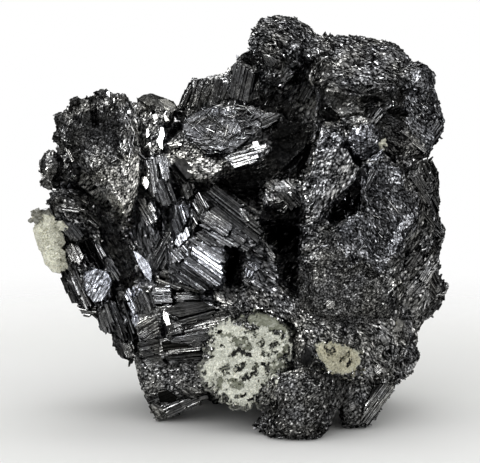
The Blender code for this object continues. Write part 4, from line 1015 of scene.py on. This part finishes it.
def plain_mesh(slabs):
    """Smooth crystal faces: each slab's outline raised on straight sides, with a bevel round its top."""
    sets, faces, start = [], [], 0
    for slab in slabs:
        corners = np.array(slab.corners)
        count = len(corners)
        base, slope, lie, out = slab_lie(slab)
        middle = corners.mean(axis=0)
        foot = to_world((*middle, base + middle @ slope))[0]
        inward = middle - corners
        inward *= (FACE_BEVEL / np.linalg.norm(inward, axis=1))[:, None]
        rings = []
        for spots, rise in ((corners, -LATH_DEPTH), (corners, slab.lift - FACE_BEVEL),
                            (corners + inward, slab.lift)):
            ring = to_world(np.column_stack([spots, base + spots @ slope]))
            tipped = -((ring - foot) @ out) / (SIGHT @ Vector(out)) * (rise > 0)
            rings.append(ring + np.outer(tipped + rise, TOWARD))
        points = in_box(np.concatenate(rings))
        following = np.roll(corners, -1, axis=0)
        order = 1 if np.sum(corners[:, 0] * following[:, 1] - corners[:, 1] * following[:, 0]) > 0 else -1
        for first in (start, start + count):
            for step in range(count):
                nearer, further = first + step, first + (step + 1) % count
                faces.append([nearer, further, further + count, nearer + count][::order])
        faces.append([start + 2 * count + step for step in range(count)][::order])
        start += 3 * count
        cell = BLOCK_CELL if slab.speckle > 0.2 else SMOOTH_CELL
        beside = np.cross(out, lie)
        place = (points @ lie / (CELL_STRETCH * cell), points @ beside / cell, points @ out / cell)
        finish = {key: np.full(len(points), getattr(slab, key)) for key in ("speckle", "shine", "tint")}
        sets.append({"corners": points, "stripe": points @ beside, "place": np.column_stack(place), **finish})
    return new_mesh("plain_faces", faces=faces, **joined(sets))


# ---------------------------------------------------------------- materials
class Tree:
    """The node tree of a material or a world, emptied but for its output."""

    def __init__(self, owner, output):
        owner.use_nodes = True
        self.nodes, self.links = owner.node_tree.nodes, owner.node_tree.links
        self.nodes.clear()
        self.output = self.nodes.new(output)

    def fill(self, made, inputs):
        """Set a node's inputs to values, or link them to outputs."""
        for key, value in dict(inputs).items():
            if isinstance(value, bpy.types.NodeSocket):
                self.links.new(value, made.inputs[key])
            else:
                made.inputs[key].default_value = value

    def node(self, kind, inputs=(), **settings):
        """The outputs of a new node."""
        made = self.nodes.new(kind)
        for key, value in settings.items():
            setattr(made, key, value)
        self.fill(made, inputs)
        return made.outputs

    def maths(self, operation, *values, clamp=False):
        return self.node("ShaderNodeMath", enumerate(values), operation=operation, use_clamp=clamp)[0]

    def scaled(self, value, factor, offset):
        return self.maths("MULTIPLY_ADD", value, factor, offset)

    def vector(self, operation, inputs):
        return self.node("ShaderNodeVectorMath", inputs, operation=operation)[0]

    def mixed(self, factor, a, b, blend="MIX"):
        return self.node("ShaderNodeMix", {"Factor": factor, "A": a, "B": b}, data_type="RGBA",
                         blend_type=blend)["Result"]

    def ramp(self, factor, *stops):
        made = self.nodes.new("ShaderNodeValToRGB")
        self.fill(made, {"Fac": factor})
        elements = made.color_ramp.elements
        for place, _ in stops[2:]:
            elements.new(place)
        for element, (place, colour) in zip(elements, stops):
            element.position = place
            element.color = (*colour, 1)
        return made.outputs["Color"]

    def attribute(self, name, output="Fac"):
        return self.node("ShaderNodeAttribute", attribute_name=name)[output]

    def object_noise(self, per_mm, detail=2.0):
        place = self.node("ShaderNodeTexCoord")["Object"]
        return self.node("ShaderNodeTexNoise", {"Vector": place, "Scale": per_mm / MM, "Detail": detail})[0]

    def bump(self, height, strength, depth):
        """The normal of bumps this deep in mm."""
        inputs = {"Height": height, "Strength": strength, "Distance": depth * MM}
        return self.node("ShaderNodeBump", inputs)[0]


def new_material(name):
    """A material, its tree and its shader."""
    material = bpy.data.materials.new(name)
    tree = Tree(material, "ShaderNodeOutputMaterial")
    shader = tree.nodes.new("ShaderNodeBsdfPrincipled")
    tree.fill(tree.output, {"Surface": shader.outputs["BSDF"]})
    return material, tree, shader


CELL_MIDDLE = 2.4  # how much brighter than the rest a tiny crystal's middle is
CELL_EDGE = 4.8  # how fast it darkens toward its edge
CELL_LUCK = 3.4  # how much brighter the brightest of them are
DIMMEST = 0.03
FACET_TURN = 0.7  # how far the tiny faces turn at most, as a share of the surface's normal
DARKEST, BRIGHTEST = (0.006,) * 3, (0.94,) * 3  # what the ore reflects
HUES = ((0.0, (1.0, 0.97, 0.80)), (0.45, (1.0, 0.99, 0.95)), (0.6, (0.96, 0.97, 1.0)),
        (1.0, (0.84, 0.88, 1.0)))


def ore_material():
    """Black enargite: metallic, striated along each crystal, dull olive to steel blue where tarnished."""
    material, tree, shader = new_material("enargite")
    speckle = tree.attribute("speckle")
    lines = tree.node("ShaderNodeTexNoise", {"W": tree.attribute("stripe"), "Scale": 3.2, "Detail": 4.0,
                                             "Roughness": 0.7}, noise_dimensions="1D")[0]
    cells = tree.node("ShaderNodeTexVoronoi", {"Vector": tree.attribute("place", "Vector"), "Scale": 0.7,
                                               "Randomness": 1.0})
    draw = tree.node("ShaderNodeTexWhiteNoise", {"Vector": cells["Position"]})["Value"]
    lucky = tree.scaled(tree.maths("POWER", draw, 4.0), CELL_LUCK, -0.5)
    cell_shade = tree.maths("ADD", lucky, tree.scaled(cells["Distance"], -CELL_EDGE, CELL_MIDDLE))
    spark = tree.scaled(cell_shade, tree.maths("MULTIPLY", speckle, 1.6, clamp=True), 1.0)
    streaks = tree.scaled(tree.object_noise(2.4, 3.0), 0.9, tree.maths("MULTIPLY", lines, 0.5))
    streaked = tree.maths("MULTIPLY", tree.scaled(streaks, 2.6, -0.85), tree.maths("MAXIMUM", spark, DIMMEST))
    strength = tree.maths("MULTIPLY", tree.attribute("shine"), streaked, clamp=True)
    grey = tree.ramp(strength, (0.0, DARKEST), (1.0, BRIGHTEST))
    tarnish = tree.scaled(tree.object_noise(0.35), 0.5, tree.scaled(tree.attribute("tint"), 0.5, 0.25))
    colour = tree.mixed(1.0, grey, tree.ramp(tarnish, *HUES), "MULTIPLY")
    rough = tree.scaled(tree.object_noise(0.9, 3.0), 0.3, tree.scaled(speckle, 0.3, 0.03))
    turn = tree.vector("ADD", {0: cells["Color"], 1: (-0.5, -0.5, -0.5)})
    tipped = tree.vector("SCALE", {0: turn, "Scale": tree.maths("MULTIPLY", speckle, FACET_TURN)})
    normal = tree.vector("NORMALIZE", {0: tree.vector("ADD", {0: tree.bump(lines, 0.7, 0.09), 1: tipped})})
    tree.fill(shader, {"Base Color": colour, "Specular Tint": colour, "Metallic": 1.0, "Roughness": rough,
                       "Normal": normal})
    return material


CLEAR_OLIVE = (0.2, 0.21, 0.155, 1)
DEEP = (0.02, 0.02, 0.018, 1)
GLOW = 1.7  # how much brighter than the pale grains the brightest are
GLOW_LIMIT = 0.86


def quartz_material(name, pale, shaded, rim):
    """Sugary quartz: pale grains with shaded ones between, a pale rim, olive where clear, dark pits, and
    painted shade round its faces' borders.
    """
    material, tree, shader = new_material(name)
    grain = tree.object_noise(2.6, 4.0)
    coarse_grain = tree.scaled(tree.object_noise(0.45, 3.0), 0.4, tree.maths("MULTIPLY", grain, 0.4))
    bright = tuple(min(GLOW_LIMIT, GLOW * level) for level in pale)
    colour = tree.ramp(tree.scaled(tree.object_noise(6.0), 0.6, coarse_grain),
                       (0.52, shaded), (0.68, pale), (0.84, bright))
    for key, layer in (("rim", (*rim, 1)), ("olive", CLEAR_OLIVE), ("pit", DEEP)):
        colour = tree.mixed(tree.attribute(key), colour, layer)
    tree.fill(shader, {
        "Base Color": colour, "Roughness": tree.scaled(grain, 0.5, 0.2), "Subsurface Weight": 0.1,
        "Subsurface Radius": (0.6, 0.5, 0.35), "Subsurface Scale": 0.3 * MM,
        "Normal": tree.bump(grain, 0.5, 0.12)})
    return material


# ---------------------------------------------------------------- quartz crusts
# A crust's face as the display side shows it. rise: how far it stands out of the ore, ragged: how far its
# outline strays, both in mm. olive: how clear and olive it is.
Face = table("node rise ragged olive")

FACES = [
    Face("222,321 229,318 233,322 242,323 252,326 263,328 275,331 285,333 290,342 291,353 281,359 270,362 "
        "269,371 271,379 261,388 255,395 258,402 247,404 233,403 220,394 210,383 204,374 204,361 212,350 "
        "213,339 211,330", "quartz_front", 0.5, 0.5, 0.0),
    Face("243,315 254,312 266,314 276,318 288,329 290,334 278,332 264,328 250,324",
        "quartz_front", 0.25, 0.3, 1.0),
    Face("270,358 282,356 286,366 276,374 270,370", "quartz_front", 0.1, 0.5, 0.8),
    Face("314,342 331,341 346,345 359,350 360,362 352,372 336,374 326,369 318,357",
        "quartz_stained", 0.4, 0.22, 0.0),
]

# Pits in those faces, as strokes. fill: the share of the pit that clear olive quartz fills.
Pit = table("width depth fill", (0.0,))

PITS = [
    Pit("236,341 244,341 247,347", 0.75, 0.5, 0.75), Pit("231,355 238,349 250,354", 0.3, 0.5),
    Pit("261,343", 0.6, 0.7, 0.3), Pit("272,345 276,342", 0.4, 0.6, 0.2), Pit("283,336 284,340", 0.3, 0.7),
    Pit("286,345 284,352", 0.35, 0.4, 0.7), Pit("237,368 243,364", 0.5, 0.8),
    Pit("222,368 228,366", 0.45, 0.4, 0.3), Pit("226,372", 0.35, 0.7),
    Pit("242,378 250,374 256,371", 0.4, 0.7), Pit("254,367 257,364", 0.3, 0.5, 0.4),
    Pit("262,363 268,366 268,373", 0.2, 0.5), Pit("233,381 240,384", 0.75, 0.3, 0.9),
    Pit("219,385 221,378", 0.4, 0.3, 0.9), Pit("223,345", 0.2, 0.3),
    Pit("246,332 252,330 256,334", 0.25, 0.4, 0.3), Pit("222,334 230,335", 0.3, 0.15, 0.9),
    Pit("262,353 270,354 276,351", 0.25, 0.5, 0.2), Pit("279,356 286,354", 0.5, 0.3, 0.9),
    Pit("237,396 245,394", 0.2, 0.5), Pit("222,392 226,395", 0.22, 0.5),
    Pit("264,390 258,397", 0.5, 0.5, 0.5), Pit("249,400 253,398", 0.2, 0.5),
    Pit("214,333 221,330", 0.2, 0.5), Pit("325,347 329,352", 0.3, 0.5, 0.2),
    Pit("332,346 334,350", 0.2, 0.4), Pit("351,347 346,354 341,359", 0.22, 0.6),
    Pit("349,358 347,364", 0.2, 0.5),
]
PIT_SHARE = 0.85  # how much of its stated width a pit has
FACE_CELL = 0.09  # spacing of the grid that a crust's face is made on, in mm
FACE_MARGIN = 0.8  # how far the grid goes beyond its outline
FACE_REACH = 0.5  # how far the face may lie from its plane
SMOOTHINGS = 6
SKIRT = 1.3  # how far a face's border runs down into the ore
SKIRT_WIDTH = 0.4  # over how wide a strip it does so

# Waves on a crust's face: their height, their size in mm, and what is added to the face's seed.
RAGGED_WAVES = ((1.2, 1.3, 0), (1.5, 0.5, 5), (0.7, 0.2, 6))
SWELL_WAVES = ((0.16, 0.9, 9),)
PIT_WAVES = ((0.3, 0.45, 2), (0.28, 0.2, 3))
SKIRT_WAVES = ((0.25, 0.35, 11),)


def wavering(points, size, seed):
    """Smooth noise of about this size in mm at each (across, up), from -1 to 1."""
    return np.array([noise.noise(Vector((a / size, u / size, seed))) for a, u in points])


def waves(points, seed, kinds):
    return sum(height * wavering(points, size, seed + step) for height, size, step in kinds)


def off_border(points, corners):
    """Distance from each point to an outline's border, in mm."""
    return from_stroke(points, corners + corners[:1])


def levels_under(points, corners, shape):
    """How far toward the crust lies under each point of a grid, near its plane and smoothed."""
    base, slope = zone_plane(corners, whole_tree)
    hits = [front_hit(a, u, whole_tree) for a, u in points]
    toward = np.array([level if hit is None else min(max(hit, level - FACE_REACH), level + FACE_REACH)
                       for level, hit in zip(base + points @ slope, hits)]).reshape(shape)
    for _ in range(SMOOTHINGS):
        toward[1:-1, 1:-1] = (toward[:-2, 1:-1] + toward[2:, 1:-1] + toward[1:-1, :-2] + toward[1:-1, 2:]) / 4
    return toward.reshape(-1)


def face_grid(face, seed):
    """A crust's face on a grid: its corners with how dark they are, in the pits and by painted shade round the
    border, how olive and how pale, and its quads.
    """
    low, high = np.min(face.corners, axis=0) - FACE_MARGIN, np.max(face.corners, axis=0) + FACE_MARGIN
    across, up = (np.arange(low[axis], high[axis], FACE_CELL) for axis in (0, 1))
    rows, columns = len(up), len(across)
    points = np.stack(np.meshgrid(across, up), axis=2).reshape(-1, 2)
    border = off_border(points, face.corners)
    border = np.where(inside(face.corners, points), border, -border)
    border += face.ragged * waves(points, seed, RAGGED_WAVES)
    toward = levels_under(points, face.corners, (rows, columns))
    toward += face.rise * np.clip(border / 0.5, 0, 1) ** 0.5 + waves(points, seed, SWELL_WAVES)
    toward += np.array([facet_height(Vector((a, u, seed)), 0.32, 1.4) for a, u in points]) * 0.09
    pit_border = waves(points, seed, PIT_WAVES)
    pit, olive = np.zeros(len(points)), np.full(len(points), face.olive)
    for hole in PITS:
        share = 1 - (from_stroke(points, hole.corners) + pit_border) / (hole.width * PIT_SHARE)
        toward -= hole.depth * np.clip(share * 3, 0, 1)
        filled = np.clip((share - 1 + hole.fill) * 8, 0, 1) * (hole.fill > 0)
        pit = np.maximum(pit, np.clip(share * 5, 0, 1) * (1 - filled))
        olive = np.maximum(olive, filled)
    specks = np.clip((wavering(points, 0.22, seed + 7) - 0.42) * 6, 0, 1)
    specks *= wavering(points, 2.6, seed + 8) > -0.1
    toward -= 0.25 * specks
    drop = np.clip(-border / SKIRT_WIDTH, 0, 1) + waves(points, seed, SKIRT_WAVES)
    toward -= np.where(border > 0, 0.0, SKIRT * np.clip(0.3 + 0.7 * drop, 0.2, 1))
    # Painted shade: the strip at the face's border, and the skirt that runs down from it into the ore, are
    # darkened.
    pit = np.maximum(np.maximum(pit, specks), 0.6 * np.clip(1 - border / 0.1, 0, 1))
    rim = np.clip(1.2 - border / 0.4, 0, 1) * (1 - np.clip(face.olive * 2, 0, 1))
    first = (np.arange(rows - 1)[:, None] * columns + np.arange(columns - 1)[None]).reshape(-1)
    quads = np.stack([first, first + 1, first + 1 + columns, first + columns], axis=1)
    quads = quads[(border > -SKIRT_WIDTH)[quads].any(axis=1)]
    used, quads = np.unique(quads, return_inverse=True)
    corners = in_box(to_world(np.column_stack([points, toward])[used]))
    values = {"pit": pit[used], "olive": olive[used], "rim": rim[used]}
    return {"corners": corners, **values}, quads.reshape(-1, 4)


# The leftmost pixels of the cream crust, from its foot up, and the row below which it is cream.
CREAM_EDGE = outline("60,279 55,274 48,266 44,261 42,255 39,249 37,241 35,237 34,229 38,222 33,219 34,213 "
                     "41,210 49,208 54,203")
CREAM_TOP = 217
CREAM_STRAY = 0.7  # how far its border wanders, in mm


def trimmed_cream(points):
    """The cream crust's points, none left of its outline, and how dark each is."""
    strayed = np.array([noise.noise_vector(Vector(point) * 0.7) for point in points])
    display = to_display(points + CREAM_STRAY * strayed)
    edge_across, edge_up = np.array(CREAM_EDGE).T
    wobble = np.array([noise.noise(Vector(point) * 1.8) for point in points]) * 0.3
    display[:, 0] = np.maximum(display[:, 0], np.interp(display[:, 1], edge_up, edge_across) + wobble)
    above = display[:, 1] - pixel(0, CREAM_TOP)[1]
    return in_box(to_world(display)), np.clip(above * 2.5 + 3 * wobble, 0, 0.8)


# pale, shaded and rim: colours of a crust's grains, of the shade between them and of its rim. edge: its
# longest edge, sunk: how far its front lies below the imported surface, both in mm. bare: how dark it is
# outside its faces.
Crust = namedtuple("Crust", "node material pale shaded rim edge sunk bare")
CRUST_LOOKS = (
    Crust("quartz_front", "white_quartz", (0.5, 0.51, 0.44), (0.36, 0.37, 0.31), (0.6, 0.61, 0.54),
          0.5, 0.3, 0.75),
    Crust("quartz_left", "cream_quartz", (0.52, 0.515, 0.42), (0.34, 0.335, 0.27), (0.6, 0.59, 0.5),
          0.3, 0.0, 0.0),
    Crust("quartz_stained", "stained_quartz", (0.33, 0.315, 0.225), (0.14, 0.13, 0.09), (0.55, 0.55, 0.44),
          0.5, 0.4, 0.75))
CRUST_SWELL = -0.1


def crust_mesh(crust):
    """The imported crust, refined and knobby, with its face as the display side shows it."""
    bm = packed_mesh(crust.node)
    refine(bm, lambda edge: edge.calc_length() / MM > crust.edge, REFINE_PASSES + 1)
    for vert in bm.verts:
        place = vert.co / MM
        knobs = facet_height(place, 0.5, 1.2) * 0.16
        wobble = noise.noise(place * 0.9) * 0.3
        facing = max(0.0, vert.normal.dot(SIGHT))
        moved = place + vert.normal * (CRUST_SWELL + knobs + wobble) - SIGHT * crust.sunk * facing
        vert.co = Vector(in_box(np.array(moved))) * MM
    points, faces = arrays(bm)
    bm.free()
    pit, plain = np.full(len(points), crust.bare), np.zeros(len(points))
    if crust.node == "quartz_left":
        points, pit = trimmed_cream(points)
    sets, faces = [{"corners": points, "pit": pit, "olive": plain, "rim": plain}], faces.tolist()
    for index, face in enumerate(FACES):
        if face.node == crust.node:
            grid, quads = face_grid(face, 11.0 * index)
            faces += (quads + sum(len(part["corners"]) for part in sets)).tolist()
            sets.append(grid)
    return new_mesh(crust.node + "_druse", faces=faces, **joined(sets))


# Grains of quartz on the crusts and round them, and of ore round them. size and height: least and most, in
# mm. dark: how dark they are.
Spill = table("node count size height dark", (0.0,))

SPILLS = [
    Spill("202,366 206,330 222,314 254,310 284,320 296,340 290,364 276,388 262,408 228,408 206,388",
        MASS, 1300, (0.14, 0.36), (-0.05, 0.2)),
    Spill("312,340 332,337 354,342 366,356 362,374 346,380 324,376 314,356",
        MASS, 500, (0.2, 0.45), (-0.1, 0.25)),
    Spill("40,228 48,220 56,220 60,236 52,246 43,244 39,234", "quartz_left", 110, (0.3, 0.7), (0.15, 0.4)),
    Spill("43,244 58,240 68,264 60,272 49,262", "quartz_left", 150, (0.25, 0.55), (0.1, 0.35)),
    Spill("56,222 62,220 64,226 58,230", "quartz_left", 5, (0.5, 0.8), (0.3, 0.6)),
    Spill("32,210 40,208 43,218 36,224 31,220", "quartz_left", 14, (0.3, 0.5), (0.1, 0.3), 0.75),
    Spill("202,356 210,326 230,314 290,330 294,356 274,384 262,406 228,406 204,384",
        "quartz_front", 160, (0.15, 0.4), (0.05, 0.3)),
    Spill("314,340 352,344 366,356 362,374 346,380 324,374",
        "quartz_stained", 110, (0.15, 0.32), (0.05, 0.3)),
    Spill("378,140 385,140 384,152 380,152", "quartz_left", 7, (0.3, 0.45), (0.1, 0.3)),
    Spill("390,320 397,320 396,328 390,328", "quartz_stained", 5, (0.3, 0.5), (0.0, 0.2), 0.3),
]
ORE_SHINE = 0.16
CLEAR_BORDER = 0.25  # how far onto a crust's face its ore grains reach, in mm


def spill_blocks(spill, rng):
    """Small angular grains strewn over the display side, inside an outline; ore not on a crust's face."""
    spots = scattered(rng, spill.corners, spill.count)
    shine = ORE_SHINE if spill.node == MASS else 0.0
    if shine:
        for face in FACES:
            spots = spots[~(inside(face.corners, spots) & (off_border(spots, face.corners) > CLEAR_BORDER))]
    placed = front_hits(spots, whole_tree)
    count = len(placed)
    size = rng.uniform(*spill.size, count)
    return block_rows(
        rng, to_world(placed), along=rng.normal(0, 1, (count, 3)),
        out=unit(TOWARD + rng.normal(0, 0.45, (count, 3))), length=size * rng.uniform(1, 1.8, count),
        width=size, height=rng.uniform(*spill.height, count), depth=size * 0.8,
        inset=size * rng.uniform(0.1, 0.4, count),
        tilt=rng.normal(0, 0.3, (count, 2)), skew=rng.normal(0, 0.3, count), shine=shine * uneven(rng, count),
        tint=0.0, speckle=0.3, pit=spill.dark)


# ---------------------------------------------------------------- the studio
FLOOR_RADIUS = 0.4  # in metres, like all of the studio
PAPER = ((0.3, (0.75, 0.755, 0.735)), (0.7, (0.78, 0.78, 0.77)))
PAPER_FADES = (0.045, 0.085)  # where round the specimen the paper begins and ends to fade into the white
ROOM_LEVELS = ((0.0, 0.35), (0.48, 0.25), (0.52, 0.04), (0.68, 0.05), (0.8, 0.7), (1.0, 0.95))
ROOM_LIGHT = 0.95
CAMERA_DISTANCE = 1.6
SENSOR = 36.0

# Softboxes: where they are, what they aim at, how wide and high they are, their watts, and whether they
# light matte things and metal.
LIGHTS = (
    ("key", (-0.35, -0.25, 0.5), (0, 0, 0.02), (0.3, 0.3), 6.0, False, True),
    ("fill", (0.45, -0.35, 0.25), (0, 0, 0.02), (0.2, 0.4), 1.2, False, True),
    ("ceiling", (-0.1, 0.1, 0.6), (0, 0, 0.02), (0.4, 0.4), 0.8, False, True),
    ("behind", (0.05, 0.3, 0.55), (0, 0, 0), (0.5, 0.3), 1.0, True, False),
    ("front", (-0.15, -0.6, 0.3), (0, 0, 0.02), (0.3, 0.3), 0.4, True, False))


def add_object(name, data):
    obj = bpy.data.objects.new(name, data)
    bpy.context.scene.collection.objects.link(obj)
    return obj


def add_floor():
    mesh = bpy.data.meshes.new("floor")
    bm = bmesh.new()
    bmesh.ops.create_circle(bm, cap_ends=True, segments=96, radius=FLOOR_RADIUS)
    bm.to_mesh(mesh)
    bm.free()
    floor = add_object("floor", mesh)
    material, tree, shader = new_material("floor_paper")
    away = tree.node("ShaderNodeVectorMath", {0: tree.node("ShaderNodeTexCoord")["Object"]},
                     operation="LENGTH")["Value"]
    fade = tree.node("ShaderNodeMapRange", {"Value": away, "From Min": PAPER_FADES[0],
                                            "From Max": PAPER_FADES[1]}, interpolation_type="SMOOTHSTEP")
    tree.fill(shader, {"Roughness": 0.9, "Base Color": tree.ramp(tree.object_noise(0.02), *PAPER)})
    clear = tree.node("ShaderNodeBsdfTransparent")[0]
    mix = tree.node("ShaderNodeMixShader", {0: fade["Result"], 1: shader.outputs[0], 2: clear})[0]
    tree.fill(tree.output, {"Surface": mix})
    mesh.materials.append(material)


def add_world():
    """A white room for the camera and for matte things; for reflections a bright ceiling, a dim middle."""
    world = bpy.data.worlds.new("studio")
    bpy.context.scene.world = world
    tree = Tree(world, "ShaderNodeOutputWorld")
    height = tree.node("ShaderNodeSeparateXYZ", {0: tree.node("ShaderNodeTexCoord")["Generated"]})["Z"]
    scale = tree.node("ShaderNodeMapRange", {"Value": height, "From Min": -1.0})["Result"]
    room = tree.ramp(scale, *((place, (level,) * 3) for place, level in ROOM_LEVELS))
    white = (1, 1, 1, 1)
    seen, lit, soft = (tree.node("ShaderNodeBackground", {"Color": colour, "Strength": strength})[0]
                       for colour, strength in ((white, 1.0), (room, 1.0), (white, ROOM_LIGHT)))
    path = tree.node("ShaderNodeLightPath")
    matte = tree.node("ShaderNodeMixShader", {0: path["Is Diffuse Ray"], 1: lit, 2: soft})[0]
    mix = tree.node("ShaderNodeMixShader", {0: path["Is Camera Ray"], 1: matte, 2: seen})[0]
    tree.fill(tree.output, {"Surface": mix})


def add_softbox(name, place, aim, size, watts, on_matte, on_metal):
    light = bpy.data.lights.new(name, "AREA")
    light.shape = "RECTANGLE"
    light.size, light.size_y = size
    light.energy = watts
    obj = add_object(name, light)
    obj.location = place
    obj.rotation_euler = (Vector(aim) - Vector(place)).to_track_quat("-Z", "Y").to_euler()
    obj.visible_diffuse = on_matte
    obj.visible_glossy = on_metal


def add_camera():
    """Far off on the display plane's normal, with the photograph's scale at that plane."""
    data = bpy.data.cameras.new("camera")
    camera = add_object("camera", data)
    middle = to_world((0, (FOOT_ROW - IMAGE_SIZE[1] / 2) / PIXELS_PER_MM, 0))[0] * MM
    camera.location = Vector(middle) + SIGHT * CAMERA_DISTANCE
    camera.rotation_euler = (-SIGHT).to_track_quat("-Z", "Y").to_euler()
    data.sensor_fit = "HORIZONTAL"
    data.sensor_width = SENSOR
    data.lens = SENSOR * CAMERA_DISTANCE / (IMAGE_SIZE[0] / PIXELS_PER_MM * MM)
    data.clip_start, data.clip_end = 0.05, 10.0
    bpy.context.scene.camera = camera


# ---------------------------------------------------------------- build
def add_piece(name, mesh, material, slot):
    obj = add_object(name, mesh)
    mesh.materials.append(material)
    mesh.shade_flat()
    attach(obj, "root")
    return obj


def add_blocks(name, blocks, material, slot, bevelled=True):
    add_piece(name, block_mesh(name, blocks, bevelled), material, slot)


def frame_slot(node_name):
    """The material slot that the record gives to a node."""
    rows = frame["record"]["subparts"]
    return next(row["material_slot"] for row in rows if row["node"] == node_name)


def spilled(node_name, rng):
    return joined([spill_blocks(spill, rng) for spill in SPILLS if spill.node == node_name])


def build():
    rng = np.random.default_rng(SEED)
    ore = ore_material(), "enargite"
    for mesh in crystal_skins():
        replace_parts(add_piece(mesh.name, mesh, *ore), MASS)
    blocks = grains(rng)
    for index, start in enumerate(range(0, len(blocks["centre"]), GRAINS_A_PIECE)):
        part = {key: value[start:start + GRAINS_A_PIECE] for key, value in blocks.items()}
        add_blocks(f"grains_{index + 1}", part, *ore, bevelled=False)
    add_blocks("crystals", crystals(rng), *ore)
    laths = [slab_blocks(slab, rng) for slab in SLABS if slab.lath] + [streak_blocks(rng)]
    add_blocks("laths", joined(laths), *ore)
    add_piece("plain_faces", plain_mesh([slab for slab in SLABS if not slab.lath]), *ore)
    add_blocks("ore_grains", spilled(MASS, rng), *ore)
    for crust in CRUST_LOOKS:
        look = quartz_material(crust.material, crust.pale, crust.shaded, crust.rim), frame_slot(crust.node)
        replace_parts(add_piece(crust.node + "_druse", crust_mesh(crust), *look), crust.node)
        add_blocks(crust.node + "_grains", spilled(crust.node, rng), *look)


build()
add_floor()
add_world()
for light in LIGHTS:
    add_softbox(*light)
add_camera()
bpy.context.scene.view_settings.view_transform = "Standard"
